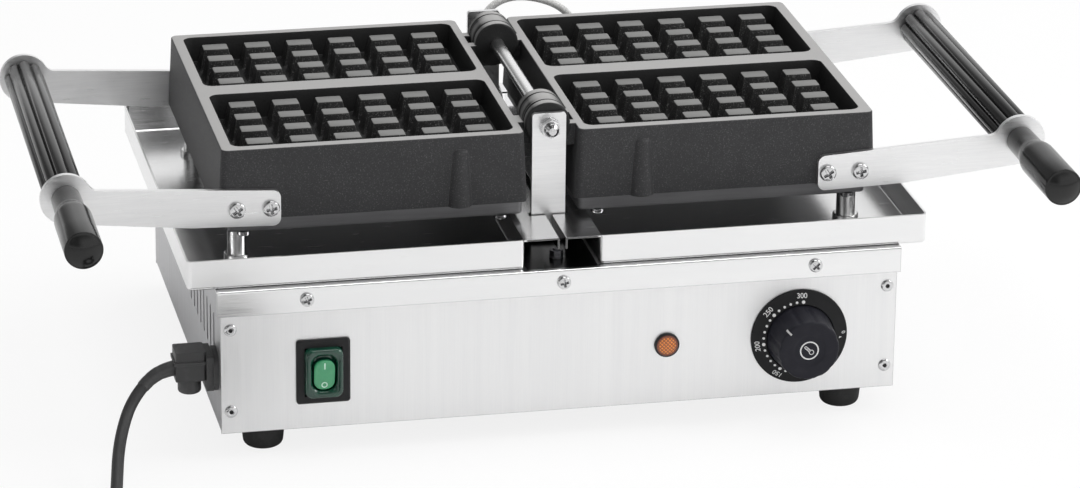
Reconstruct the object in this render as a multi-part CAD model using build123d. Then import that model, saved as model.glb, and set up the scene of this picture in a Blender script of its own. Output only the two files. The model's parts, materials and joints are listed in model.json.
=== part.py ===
from build123d import *
import math
import os

# Countertop double waffle iron, lying open.
# Millimetres. X runs to the right, Y to the back, Z up. The origin lies on the table,
# below the middle of the object without its mains lead.

# General fits
cut_over = 1.0             # how far a cutting shape runs past what it cuts
fit = 0.05                 # radial room of a pin or shaft that turns in its bore
slip = 0.2                 # radial room of a screw or rod in a plain hole
seat_gap = 0.3             # room between two bodies that rest on each other

# Base
base_width = 400.0
base_depth = 280.0
base_height = 87.5         # from the underside of the pan to the top of the cover
foot_height = 16.0
pan_sheet = 1.0
panel_sheet = 1.2
cover_sheet = 1.2
cover_overhang = 1.8       # how far the cover stands past the side walls
cover_lip = 15.2
cover_bend = 1.5
pan_bend = 1.5
pan_tab = 13.0
pan_top_flange = 9.0

# Louvres in the side walls
slot_height = 27.3
slot_width = 4.0
slot_pitch = 13.3
slot_count = 10
slot_first = 26.0          # from the front panel to the first slot
slot_rise = 3.7            # from the gland's middle up to the slots' lower ends

# Feet
foot_top_radius = 13.0
foot_bottom_radius = 11.4
foot_edge = 4.0
foot_inset_side = 27.0
foot_inset_end = 20.0
foot_recess_radius = 5.6
foot_recess_depth = 7.0

# Screws, each as shank radius, head radius and head height
m3_shank = 1.5
m3_head = 2.8
m3_head_height = 1.9
m4_shank = 2.0
m4_head = 4.0
m4_head_height = 2.6
m4_nut_flats = 7.0
m4_nut_height = 3.2
m5_shank = 2.5
m5_head = 5.0
m5_head_height = 3.0
m5_nut_flats = 8.0
m5_nut_height = 4.0
screw_edge = 0.9           # rounding of a pan head
cover_screw_inset = 50.0   # from the side walls
cover_screw_drop = 7.5     # below the top of the cover
cover_screw_length = 8.0
foot_screw_length = 13.0

# Blind rivets at the ends of both panels
rivet_radius = 3.8
rivet_height = 1.3
rivet_shank = 2.0
rivet_hole = 1.1
rivet_hole_depth = 2.0
rivet_inset = 5.7
rivet_low = 13.5
rivet_drop = 8.6           # below the cover's lip

# Drip trays
tray_sheet = 1.0
tray_setback = 3.5         # from the front panel to the tray
tray_end_margin = 31.75    # past the castings' front and rear walls
tray_height = 18.0
tray_inner_x = 21.9
tray_side_margin = 25.4    # past the castings' outer wall
tray_corner = 3.0
tray_bend = 2.0
flange_gap = 3.7           # between the two lips over the middle channel
flange_lip = 6.8
notch_room = 1.5

# Rest posts
post_radius = 5.6
post_ring_radius = 7.65
post_ring_height = 3.0
post_inset_side = 10.5     # from the castings' outer wall
post_inset_end = 16.6
post_edge = 1.0
post_height = 19.5         # from the tray floor to the top of the post

# Cast plates
casting_height = 42.5
casting_draft = 3.0        # degrees, of the side walls
casting_corner = 4.0
casting_edge = 0.8
closing_gap = 0.4          # between the two faces when the iron is shut
cavity_width = 165.3
cavity_length = 92.5
cavity_corner = 6.0
cavity_depth = 15.0
cavity_draft = 8.0         # degrees
rim_inner = 4.75
rim_outer = 6.45
rim_end = 6.2
rim_divider = 15.6
channel_x = 10.8           # between the tops of two studs
channel_y = 11.5
stud_draft = 12.0          # degrees
stud_drop = 2.0            # how far the studs stay below the rim
stud_margin_x = 5.25       # from the cavity's edge to half a channel before the first stud
stud_margin_y = 3.25
stud_columns = 6
stud_rows = 4
skirt_wall = 7.0
web_thickness = 8.0        # metal below the cavities
pocket_corner = 3.0
boss_reach = 37.85         # from the casting's inner wall to the cast boss on its outer walls
boss_top_radius = 5.5
boss_bottom_radius = 7.9
boss_proud = 4.5
boss_drop = 5.0            # below the rim

# Hinge
axle_radius = 4.0
axle_end_radius = 3.0
knuckle_radius = 13.3
ear_width = 6.4
tongue_width = 12.6
knuckle_edge = 1.2         # rounding of the rims of the rings
knuckle_gap = 0.3
front_cluster = 0.5        # from the front bracket to the first ear
spacer_length = 15.0
bracket_width = 20.0
bracket_sheet = 3.0
bracket_inset = 11.25      # from the castings' outer walls to the brackets' inner faces
knuckle_room = 2.85        # between a knuckle and the other half's wall
bracket_above_axle = 8.0
bracket_corner = 2.0
bracket_bend = 3.0
bracket_foot = 35.0
bracket_bolt_inset = 9.0
channel_bolt_reach = 26.0   # from the front bracket to the bolt in front of it
washer_radius = 6.0
washer_sheet = 1.2
cap_nut_flats = 10.0
cap_nut_height = 5.0
cap_nut_dome = 4.6
axle_end_reach = 5.0       # thread past the washer, inside the cap nut
spacer_radius = 6.0

# Parts below each casting
heater_cover_height = 8.8
heater_cover_sheet = 1.0
heater_cover_inset = 3.0
heater_cover_side = 0.4
heater_screw_x = 12.85     # from the casting's inner and outer wall
heater_screw_y = 6.75      # from the casting's front and rear wall
heater_screw_length = 17.0
heater_boss_radius = 5.0
element_radius = 4.0
element_inset = 24.0
element_legs = 62.0        # between the legs of the element
board_room = 1.5

# Handles
arm_sheet = 3.0
arm_overlap = 33.35        # how far an arm lies along the casting
arm_root_drop = 3.7        # from the underside of the casting down to the arm's lower corner
arm_root_height = 21.3
arm_corner = 4.5
arm_join_angle = 16.0      # degrees round the disc to where the upper edge meets it
arm_knee_reach = 52.0      # from the arm's start to the bend of the lower edge
arm_knee_rise = 1.6
arm_knee_radius = 60.0
arm_disc_radius = 15.0
arm_disc_fillet = 7.0
arm_screw_near = 5.7       # from the arm's start
arm_screw_far = 25.4
arm_screw_height = 11.0    # above the lower corner of the arm
arm_screw_length = 9.0
handle_reach = 89.75       # from the castings' outer wall
handle_drop = 22.3         # from the castings' face down to the handle's middle
rod_radius = 4.0
grip_lobes = 8
grip_radius = 12.0
grip_core_radius = 10.0
grip_lobe_radius = 3.7
end_length = 83.0          # front piece, from the arm to the start of its dome
end_dome = 3.5
end_collar_flats = 19.0
end_collar_length = 5.0
end_neck_radius = 9.2
end_neck_length = 22.0
end_shoulder_length = 4.0
end_barrel_radius = 11.0
end_socket_depth = 40.0
handle_nut_flats = 13.0
handle_nut_height = 6.5
rod_tail = 2.5

# Sleeved leads from the base to the castings
sleeve_radius = 2.4
sleeve_plane = 8.75        # behind the castings' rear wall
sleeve_start_x = 15.5
sleeve_start_drop = 8.0    # below the cover
sleeve_entry_height = 9.0  # above the underside of the casting
grommet_radius = 5.4
grommet_neck = 3.9
grommet_head = 1.6
rear_notch_reach = 25.5

# Mains switch
switch_inset = 59.2        # from the panel's end
switch_drop = 1.05         # below the line of the dial and the lamp
switch_width = 31.4
switch_height = 39.4
switch_proud = 2.2
switch_edge = 1.0
switch_body_width = 26.8
switch_body_height = 33.8
switch_body_depth = 24.0
switch_window_width = 22.0
switch_window_height = 30.0
switch_window_depth = 13.0
rocker_side_room = 0.3
rocker_pivot = 1.0         # behind the panel's face
rocker_half = 13.6
rocker_front = 6.0
rocker_hollow = 1.8
rocker_back = 3.0
rocker_back_half = 11.5
rocker_tilt = 7.0          # degrees
rocker_pin_radius = 1.5
rocker_pin_length = 1.2

# Pilot lamp
lamp_reach = 79.5          # from the dial's middle
lamp_rim_radius = 7.4
lamp_rim_height = 1.8
lamp_body_radius = 6.0
lamp_body_depth = 22.0
lamp_lens_radius = 5.2
lamp_lens_depth = 6.0
lamp_lens_proud = 3.2

# Thermostat
dial_inset = 58.5          # from the panel's end
dial_radius = 29.0
dial_sheet = 1.5
knob_gap = 0.4
knob_reach = 25.0          # from the panel to the knob's face
knob_back_radius = 20.0
knob_face_radius = 18.0
knob_flutes = 18
knob_flute_radius = 2.0
knob_flute_bite = 0.9
knob_wall = 3.2
knob_hollow_depth = 13.0
knob_hub_radius = 6.5
knob_bore_depth = 15.0
knob_edge = 1.2
pointer_width = 1.6
pointer_depth = 0.6
pointer_length = 9.0
pointer_inset = 1.6
pointer_angle = 46.0       # degrees left of the top
shaft_radius = 3.0
bush_radius = 5.0
thermostat_size = 36.0
thermostat_depth = 26.0
thermostat_shaft_depth = 10.0
thermostat_screw_spread = 12.5
thermostat_screw_length = 8.0

# Terminal block on the pan
terminal_length = 52.0
terminal_depth = 20.0
terminal_height = 18.0
terminal_inset = 80.0
terminal_y = 80.0
terminal_poles = 3
terminal_hole_radius = 2.2
terminal_hole_depth = 7.0

# Cord gland on the left wall
gland_y = 18.0
gland_z = 34.0
gland_flange_radius = 13.0
gland_flange_sheet = 3.0
gland_plate_sheet = 4.0
gland_plate_half = 10.5
gland_plate_rise = 11.0
gland_body_length = 17.5
gland_body_half = 8.0
gland_body_above = 13.3
gland_body_below = 4.5
gland_body_edge = 1.5
gland_ridge = 0.8
gland_ridge_height = 2.0
gland_ridge_above = 5.5
gland_boss_radius = 6.8
gland_boss_length = 9.0
gland_boss_edge = 2.0
gland_thread_radius = 6.0
gland_thread_length = 14.0
gland_nut_flats = 17.0
gland_nut_height = 5.0
gland_bore_depth = 7.5
gland_cord_rise = 0.4

# Mains lead
cord_radius = 3.5
cord_room = 0.15
cord_joint = 0.02          # between the lead, its coil and what they meet
coil_turn_pitch = 7.7
coil_layer_pitch = 7.6
coil_outer_radius = 48.5
coil_turns_in = 2.5
coil_turns_out = 2.75
plug_radius = 19.0
plug_height = 22.2
plug_edge = 2.5
plug_relief_length = 32.0
plug_relief_root = 6.6
plug_relief_tip = 4.6
plug_pin_radius = 2.4
plug_pin_length = 19.0
plug_pin_spread = 19.0
plug_pin_root = 3.0

# Heights and places that follow
casting_inner_x = knuckle_radius + knuckle_room
casting_width = rim_inner + cavity_width + rim_outer
casting_depth = 2 * (rim_end + cavity_length) + rim_divider
casting_outer_x = casting_inner_x + casting_width
tray_depth = casting_depth + 2 * tray_end_margin
tray_outer_x = casting_outer_x + tray_side_margin
post_x = casting_outer_x - post_inset_side
post_spread = casting_depth / 2 - post_inset_end
stud_pitch_x = (cavity_width - 2 * stud_margin_x) / stud_columns
stud_pitch_y = (cavity_length - 2 * stud_margin_y) / stud_rows
arm_start_x = casting_outer_x - arm_overlap
handle_x = casting_outer_x + handle_reach
boss_x = casting_inner_x + boss_reach
panel_line = (base_height - cover_lip) / 2
switch_x = switch_inset - base_width / 2
dial_x = base_width / 2 - dial_inset
lamp_x = dial_x - lamp_reach
terminal_x = terminal_inset - base_width / 2
rivet_high = base_height - cover_lip - rivet_drop
cover_screw_spread = base_width / 2 - cover_screw_inset
slot_middle = gland_z + slot_rise + slot_height / 2
pan_z = foot_height
cover_z = pan_z + base_height
cover_low_z = cover_z - cover_sheet
tray_floor_z = cover_z + tray_sheet
tray_top_z = cover_z + tray_height
heater_cover_z = tray_floor_z + post_height + seat_gap
casting_z = heater_cover_z + heater_cover_height
face_z = casting_z + casting_height
axle_z = face_z + closing_gap / 2
handle_z = face_z - handle_drop

plate_mid = tray_setback + tray_depth / 2
front_reach = plate_mid - casting_depth / 2 - arm_sheet - end_length - end_dome
rear_reach = base_depth + cover_sheet
panel_y = -(front_reach + rear_reach) / 2
back_y = panel_y + base_depth
mid_y = panel_y + plate_mid
casting_front = mid_y - casting_depth / 2
casting_back = mid_y + casting_depth / 2
cavity_x = casting_inner_x + rim_inner + cavity_width / 2
cavity_offset = casting_depth / 2 - rim_end - cavity_length / 2
cavity_floor_z = face_z - cavity_depth
pocket_z = cavity_floor_z - web_thickness

bracket_front_y = casting_front + bracket_inset
bracket_rear_y = casting_back - bracket_inset
cluster_width = 2 * ear_width + tongue_width + 2 * knuckle_gap
front_knuckles = bracket_front_y + front_cluster
spacer_start = bracket_rear_y - spacer_length
rear_knuckles = spacer_start - knuckle_gap - cluster_width
rivet_x = base_width / 2 - rivet_inset
foot_places = [
    (side * (base_width / 2 - foot_inset_side), y)
    for side in (-1, 1)
    for y in (panel_y + foot_inset_end, back_y - foot_inset_end)
]
post_places = [(side * post_x, mid_y + end * post_spread) for side in (-1, 1) for end in (-1, 1)]
cover_screw_places = (-cover_screw_spread, 0, cover_screw_spread)
cover_screw_z = cover_z - cover_screw_drop
bolt_front_y = bracket_front_y - bracket_sheet + bracket_foot - bracket_bolt_inset
bolt_rear_y = bracket_rear_y + bracket_sheet - bracket_foot + bracket_bolt_inset
channel_bolt_y = bracket_front_y - channel_bolt_reach
sleeve_y = casting_back + sleeve_plane

nodes = {}


def keep(name, shape):
    """Store a finished piece under its node's name."""
    nodes[name] = shape


def block(low, high):
    """A box between its lowest and highest corner."""
    size = [b - a for a, b in zip(low, high)]
    middle = [(a + b) / 2 for a, b in zip(low, high)]
    return Pos(*middle) * Box(*size)


def rod(radius, start, end):
    """A round bar from one point to another."""
    start, end = Vector(*start), Vector(*end)
    along = end - start
    return extrude(Plane(origin=start, z_dir=along) * Circle(radius), along.length)


def hex_bar(flats, start, end):
    """A six-sided bar from one point to another, by its width across flats."""
    start, end = Vector(*start), Vector(*end)
    along = end - start
    outline = RegularPolygon(flats / 2, 6, major_radius=False)
    return extrude(Plane(origin=start, z_dir=along) * outline, along.length)


def pan_screw(point, along, shank, head, head_height, length):
    """A pan-head screw. Its head's seat is at the point, and the shank runs along."""
    point, along = Vector(*point), Vector(*along).normalized()
    crown = rod(head, point, point - along * head_height)
    circles = crown.edges().filter_by(GeomType.CIRCLE)
    outer_edge = circles.sort_by_distance(point - along * head_height * 2)[0]
    crown = fillet(outer_edge, screw_edge)
    return crown + rod(shank, point, point + along * length)


def group(solids):
    """Several separate solids in one node."""
    return Compound([piece.solid() for piece in solids])


def mirrored(shape, side):
    """The shape itself on the right, and its mirror image on the left."""
    return shape if side > 0 else mirror(shape, about=Plane.YZ)


def turned_profile(points, origin, along, across):
    """A solid of revolution. Points are distance along and radius, from the origin."""
    plane = Plane(origin=origin, x_dir=along, z_dir=Vector(*along).cross(Vector(*across)))
    face = make_face(plane * Polyline(*points, close=True))
    return revolve(face, axis=Axis(origin, along))


def base_pan():
    """Folded pan: floor, louvred sides, turned-in tabs and top flanges."""
    half = base_width / 2
    front, back = panel_y + panel_sheet, back_y - panel_sheet
    body = block((-half, front, pan_z), (half, back, cover_low_z))
    bends = body.edges().filter_by(Axis.Y).group_by(Axis.Z)[0]
    body = fillet(bends, pan_bend)
    inner = half - pan_sheet
    body -= block((-inner, front - cut_over, pan_z + pan_sheet), (inner, back + cut_over, cover_z))
    for side in (-1, 1):
        wall = side * inner
        tab_edge = side * (inner - pan_tab)
        low_x, high_x = sorted((wall, tab_edge))
        for tab_y in (front, back - pan_sheet):
            body += block((low_x, tab_y, pan_z), (high_x, tab_y + pan_sheet, cover_low_z - pan_bend))
        flange_edge = side * (inner - pan_top_flange)
        low_x, high_x = sorted((wall, flange_edge))
        body += block(
            (low_x, front + pan_tab, cover_low_z - pan_sheet), (high_x, back - pan_tab, cover_low_z)
        )
    slot = SlotCenterToCenter(slot_height - slot_width, slot_width)
    for side in (-1, 1):
        for number in range(slot_count):
            place = (
                side * (half + cut_over),
                panel_y + slot_first + number * slot_pitch,
                pan_z + slot_middle,
            )
            plane = Plane(origin=place, x_dir=(0, 0, 1), z_dir=(-side, 0, 0))
            body -= extrude(plane * slot, pan_sheet + 2 * cut_over)
    for x, y in foot_places:
        body -= rod(m4_shank + slip, (x, y, pan_z - cut_over), (x, y, pan_z + pan_sheet + cut_over))
    for y in (panel_y, back_y):
        for x in (-rivet_x, rivet_x):
            for z in (rivet_low, rivet_high):
                reach = panel_sheet + pan_sheet + cut_over
                body -= rod(rivet_shank + slip, (x, y - reach, pan_z + z), (x, y + reach, pan_z + z))
    gland_line = (panel_y + gland_y, pan_z + gland_z)
    body -= rod(
        gland_thread_radius + slip, (-half - cut_over, *gland_line), (-inner + cut_over, *gland_line)
    )
    keep("base_pan", body)


def panel_blank(y_low):
    """A flat end panel with its rivet holes and the holes of the cover's screws."""
    half = base_width / 2
    panel = block((-half, y_low, pan_z), (half, y_low + panel_sheet, cover_low_z))
    start, end = y_low - cut_over, y_low + panel_sheet + cut_over
    for x in (-rivet_x, rivet_x):
        for z in (pan_z + rivet_low, pan_z + rivet_high):
            panel -= rod(rivet_shank + slip, (x, start, z), (x, end, z))
    for x in cover_screw_places:
        panel -= rod(m4_shank + slip, (x, start, cover_screw_z), (x, end, cover_screw_z))
    return panel


def front_panel():
    """Front panel with the windows of the switch, the lamp and the thermostat."""
    panel = panel_blank(panel_y)
    start, end = panel_y - cut_over, panel_y + panel_sheet + cut_over
    half_width = switch_body_width / 2 + slip
    half_height = switch_body_height / 2 + slip
    middle = pan_z + panel_line - switch_drop
    panel -= block(
        (switch_x - half_width, start, middle - half_height),
        (switch_x + half_width, end, middle + half_height),
    )
    lamp_line = pan_z + panel_line
    panel -= rod(lamp_body_radius + slip, (lamp_x, start, lamp_line), (lamp_x, end, lamp_line))
    dial_line = pan_z + panel_line
    panel -= rod(bush_radius + slip, (dial_x, start, dial_line), (dial_x, end, dial_line))
    for side in (-1, 1):
        x = dial_x + side * thermostat_screw_spread
        panel -= rod(m3_shank + slip, (x, start, dial_line), (x, end, dial_line))
    keep("front_panel", panel)


def base_cover():
    """Top cover with a lip turned down at the front and at the back."""
    half = base_width / 2 + cover_overhang
    front, back = panel_y - cover_sheet, back_y + cover_sheet
    cover = block((-half, front, cover_z - cover_lip), (half, back, cover_z))
    bends = cover.edges().filter_by(Axis.X).group_by(Axis.Z)[-1]
    cover = fillet(bends, cover_bend)
    cover -= block(
        (-half - cut_over, panel_y, cover_z - cover_lip - cut_over),
        (half + cut_over, back_y, cover_low_z),
    )
    start, end = front - cut_over, back + cut_over
    for x in cover_screw_places:
        cover -= rod(m4_shank + slip, (x, start, cover_screw_z), (x, end, cover_screw_z))
    low, high = cover_low_z - cut_over, cover_z + cut_over
    for x, y in post_places:
        cover -= rod(m5_shank + slip, (x, y, low), (x, y, high))
    for y in (channel_bolt_y, bolt_front_y, bolt_rear_y):
        cover -= rod(m4_shank + slip, (0, y, low), (0, y, high))
    for side in (-1, 1):
        x = side * sleeve_start_x
        cover -= rod(grommet_neck, (x, sleeve_y, low), (x, sleeve_y, high))
    keep("base_cover", cover)


def base_fasteners():
    """Blind rivets of both panels, and the pan-head screws of the cover's lips."""
    rivets = []
    screws = []
    for y, inward in ((panel_y, 1), (back_y, -1)):
        for x in (-rivet_x, rivet_x):
            for z in (pan_z + rivet_low, pan_z + rivet_high):
                shank_end = y + inward * (panel_sheet + pan_sheet + rivet_height)
                dome = turned_profile(
                    [(0, 0), (0, rivet_radius), (rivet_height, rivet_radius / 2), (rivet_height, 0)],
                    (x, y, z),
                    (0, -inward, 0),
                    (0, 0, 1),
                )
                rivet = dome + rod(rivet_shank, (x, y, z), (x, shank_end, z))
                mouth = y - inward * (rivet_height + cut_over)
                rivet -= rod(rivet_hole, (x, mouth, z), (x, y + inward * rivet_hole_depth, z))
                rivets.append(rivet)
        for x in cover_screw_places:
            seat = (x, y - inward * cover_sheet, cover_screw_z)
            screws.append(
                pan_screw(seat, (0, inward, 0), m4_shank, m4_head, m4_head_height, cover_screw_length)
            )
    keep("panel_rivets", group(rivets))
    keep("cover_screws", group(screws))


def feet():
    """Four tapered rubber feet, and the screw in the recess of each."""
    rubber = []
    screws = []
    for x, y in foot_places:
        outline = [
            (0, 0),
            (0, foot_bottom_radius),
            (foot_height, foot_top_radius),
            (foot_height, 0),
        ]
        foot = turned_profile(outline, (x, y, 0), (0, 0, 1), (1, 0, 0))
        rim = foot.edges().group_by(Axis.Z)[0]
        foot = fillet(rim, foot_edge)
        foot -= rod(foot_recess_radius, (x, y, -cut_over), (x, y, foot_recess_depth))
        foot -= rod(m4_shank + slip, (x, y, 0), (x, y, foot_height + cut_over))
        rubber.append(foot)
        seat = (x, y, foot_recess_depth)
        screws.append(
            pan_screw(seat, (0, 0, 1), m4_shank, m4_head, m4_head_height, foot_screw_length)
        )
    keep("feet", group(rubber))
    keep("foot_screws", group(screws))


def tray(side):
    """Folded drip tray, its flange and lip over the channel between the trays."""
    low_y, high_y = mid_y - tray_depth / 2, mid_y + tray_depth / 2
    shell = block((tray_inner_x, low_y, cover_z), (tray_outer_x, high_y, tray_top_z))
    shell = fillet(shell.edges().filter_by(Axis.Z), tray_corner)
    shell = fillet(shell.edges().group_by(Axis.Z)[0], tray_bend)
    hollow = block(
        (tray_inner_x + tray_sheet, low_y + tray_sheet, tray_floor_z),
        (tray_outer_x - tray_sheet, high_y - tray_sheet, tray_top_z + cut_over),
    )
    hollow = fillet(hollow.edges().filter_by(Axis.Z), tray_corner - tray_sheet)
    hollow = fillet(hollow.edges().group_by(Axis.Z)[0], tray_bend - tray_sheet)
    shell -= hollow
    lip_x = flange_gap / 2
    flange_z = tray_top_z - tray_sheet
    flange = block((lip_x, low_y, flange_z), (tray_inner_x + tray_sheet, high_y, tray_top_z))
    flange += block((lip_x, low_y, tray_top_z - flange_lip), (lip_x + tray_sheet, high_y, tray_top_z))
    flange_edge = flange.edges().filter_by(Axis.Y).group_by(Axis.Z)[-1].sort_by(Axis.X)[0]
    flange = fillet(flange_edge, tray_sheet / 2)
    notch_x = bracket_width / 2 + notch_room
    flange -= block(
        (0, bracket_front_y - bracket_sheet - notch_room, tray_top_z - flange_lip - cut_over),
        (notch_x, bracket_front_y + notch_room, tray_top_z + cut_over),
    )
    flange -= block(
        (0, bracket_rear_y - notch_room, tray_top_z - flange_lip - cut_over),
        (tray_inner_x, bracket_rear_y + rear_notch_reach, tray_top_z + cut_over),
    )
    shell += flange
    for end in (-1, 1):
        y = mid_y + end * post_spread
        shell -= rod(m5_shank + slip, (post_x, y, cover_z - cut_over), (post_x, y, cover_z + tray_height))
    keep("left_tray" if side < 0 else "right_tray", mirrored(shell, side))


def rest_posts():
    """Round posts that the open castings lie on, with nuts below the cover."""
    posts = []
    nuts = []
    top = tray_floor_z + post_height
    for x, y in post_places:
        post = rod(post_radius, (x, y, tray_floor_z), (x, y, top))
        post = fillet(post.edges().group_by(Axis.Z)[-1], post_edge)
        ring = rod(post_ring_radius, (x, y, tray_floor_z), (x, y, tray_floor_z + post_ring_height))
        post += fillet(ring.edges().group_by(Axis.Z)[-1], post_edge)
        stud_end = cover_low_z - m5_nut_height - post_edge
        post += rod(m5_shank, (x, y, stud_end), (x, y, tray_floor_z))
        posts.append(post)
        nut = hex_bar(m5_nut_flats, (x, y, cover_low_z - m5_nut_height), (x, y, cover_low_z))
        nut -= rod(m5_shank + fit, (x, y, stud_end), (x, y, cover_z))
        nuts.append(nut)
    keep("rest_posts", group(posts))
    keep("post_nuts", group(nuts))


def bracket(name, face_y, outward):
    """Hinge bracket: an upright plate with its foot bent in between the castings."""
    half = bracket_width / 2
    top = axle_z + bracket_above_axle
    outer_y = face_y + outward * bracket_sheet
    foot_y = outer_y - outward * bracket_foot
    low_y, high_y = sorted((face_y, outer_y))
    plate = block((-half, low_y, cover_z), (half, high_y, top))
    corners = plate.edges().filter_by(Axis.Y).group_by(Axis.Z)[-1]
    plate = fillet(corners, bracket_corner)
    low_y, high_y = sorted((outer_y, foot_y))
    foot = block((-half, low_y, cover_z), (half, high_y, cover_z + bracket_sheet))
    body = plate + foot
    heel = body.edges().filter_by(Axis.X).sort_by_distance((0, outer_y, cover_z))[0]
    body = fillet(heel, bracket_bend)
    crook = body.edges().filter_by(Axis.X).sort_by_distance((0, face_y, cover_z + bracket_sheet))[0]
    body = fillet(crook, bracket_bend)
    body -= rod(
        axle_end_radius + fit,
        (0, face_y - outward * cut_over, axle_z),
        (0, outer_y + outward * cut_over, axle_z),
    )
    bolt_y = foot_y + outward * bracket_bolt_inset
    body -= rod(m4_shank + slip, (0, bolt_y, cover_low_z), (0, bolt_y, cover_z + bracket_foot))
    keep(name, body)


def bracket_fasteners():
    """Bolts of the brackets' feet and of the front channel, each with its washer and nut."""
    pieces = []
    for y in (channel_bolt_y, bolt_front_y, bolt_rear_y):
        seat_z = cover_z if y == channel_bolt_y else cover_z + bracket_sheet
        nut_z = seat_z + washer_sheet
        bolt_top = nut_z + m4_nut_height + washer_sheet
        pieces.append(
            pan_screw(
                (0, y, cover_low_z), (0, 0, 1), m4_shank, m4_head, m4_head_height, bolt_top - cover_low_z
            )
        )
        washer = rod(m4_head, (0, y, seat_z), (0, y, nut_z))
        nut = hex_bar(m4_nut_flats, (0, y, nut_z), (0, y, nut_z + m4_nut_height))
        for ring in (washer, nut):
            pieces.append(ring - rod(m4_shank + fit, (0, y, cover_z), (0, y, bolt_top + cut_over)))
    keep("bracket_fasteners", group(pieces))


def axle():
    """Bright axle with stepped ends, spacer, washers and cap nuts."""
    front_end = bracket_front_y - bracket_sheet - washer_sheet - axle_end_reach
    rear_end = bracket_rear_y + bracket_sheet + washer_sheet + axle_end_reach
    shaft = rod(axle_radius, (0, bracket_front_y, axle_z), (0, bracket_rear_y, axle_z))
    shaft += rod(axle_end_radius, (0, front_end, axle_z), (0, rear_end, axle_z))
    keep("axle_rod", shaft)
    spacer = rod(spacer_radius, (0, spacer_start, axle_z), (0, bracket_rear_y, axle_z))
    spacer -= rod(axle_radius + fit, (0, bracket_front_y, axle_z), (0, rear_end, axle_z))
    pieces = [spacer]
    for face_y, outward in ((bracket_front_y, -1), (bracket_rear_y, 1)):
        washer_y = face_y + outward * bracket_sheet
        nut_y = washer_y + outward * washer_sheet
        dome_y = nut_y + outward * cap_nut_height
        bore = rod(axle_end_radius + fit, (0, washer_y - outward * cut_over, axle_z), (0, nut_y, axle_z))
        washer = rod(washer_radius, (0, washer_y, axle_z), (0, nut_y, axle_z)) - bore
        nut = hex_bar(cap_nut_flats, (0, nut_y, axle_z), (0, dome_y, axle_z))
        dome = turned_profile(
            [
                (0, 0),
                (0, cap_nut_dome),
                (cap_nut_dome / 2, cap_nut_dome * math.cos(math.radians(30))),
                (cap_nut_dome * math.cos(math.radians(30)), cap_nut_dome / 2),
                (cap_nut_dome, 0),
            ],
            (0, dome_y, axle_z),
            (0, outward, 0),
            (0, 0, 1),
        )
        thread_end = nut_y + outward * (axle_end_reach + fit)
        nut = nut + dome - rod(axle_end_radius + fit, (0, nut_y, axle_z), (0, thread_end, axle_z))
        pieces += [washer, nut]
    keep("axle_fasteners", group(pieces))


def knuckle(start_y, width):
    """One hinge ring with the lug that joins it to the casting's inner wall."""
    end_y = start_y + width
    ring = rod(knuckle_radius, (0, start_y, axle_z), (0, end_y, axle_z))
    ring = fillet(ring.edges().filter_by(GeomType.CIRCLE), knuckle_edge)
    lug = block(
        (0, start_y, axle_z - knuckle_radius), (casting_inner_x + casting_corner, end_y, face_z)
    )
    return ring + lug


def fork(start_y):
    """Two ears with room for a tongue between them."""
    far_ear = start_y + ear_width + tongue_width + 2 * knuckle_gap
    return knuckle(start_y, ear_width) + knuckle(far_ear, ear_width)


def tongue(start_y):
    """The thick knuckle that fits between two ears."""
    return knuckle(start_y + ear_width + knuckle_gap, tongue_width)


def heater_screw_places():
    """Where the four screws of the heater cover stand, for the right half."""
    near, far = casting_inner_x + heater_screw_x, casting_outer_x - heater_screw_x
    front, back = casting_front + heater_screw_y, casting_back - heater_screw_y
    return [(x, y) for x in (near, far) for y in (front, back)]


def arm_screw_places():
    """Where the two screws of an arm stand, as x and z, for the right half."""
    low = arm_low_z()
    return [(arm_start_x + reach, low + arm_screw_height) for reach in (arm_screw_near, arm_screw_far)]


def arm_low_z():
    """Height of the arm's lower corner at the casting."""
    return casting_z - arm_root_drop


def cast_boss(wall_y, outward):
    """Tapered cast boss on an outer wall, with a rounded top."""
    top = face_z - boss_drop
    depth = boss_bottom_radius - boss_proud
    y = wall_y - outward * depth
    height = top - boss_top_radius / 2 - casting_z
    cone = Pos(boss_x, y, casting_z + height / 2) * Cone(boss_bottom_radius, boss_top_radius, height)
    cone = fillet(cone.edges().group_by(Axis.Z)[-1], boss_top_radius / 2)
    return cone


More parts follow.
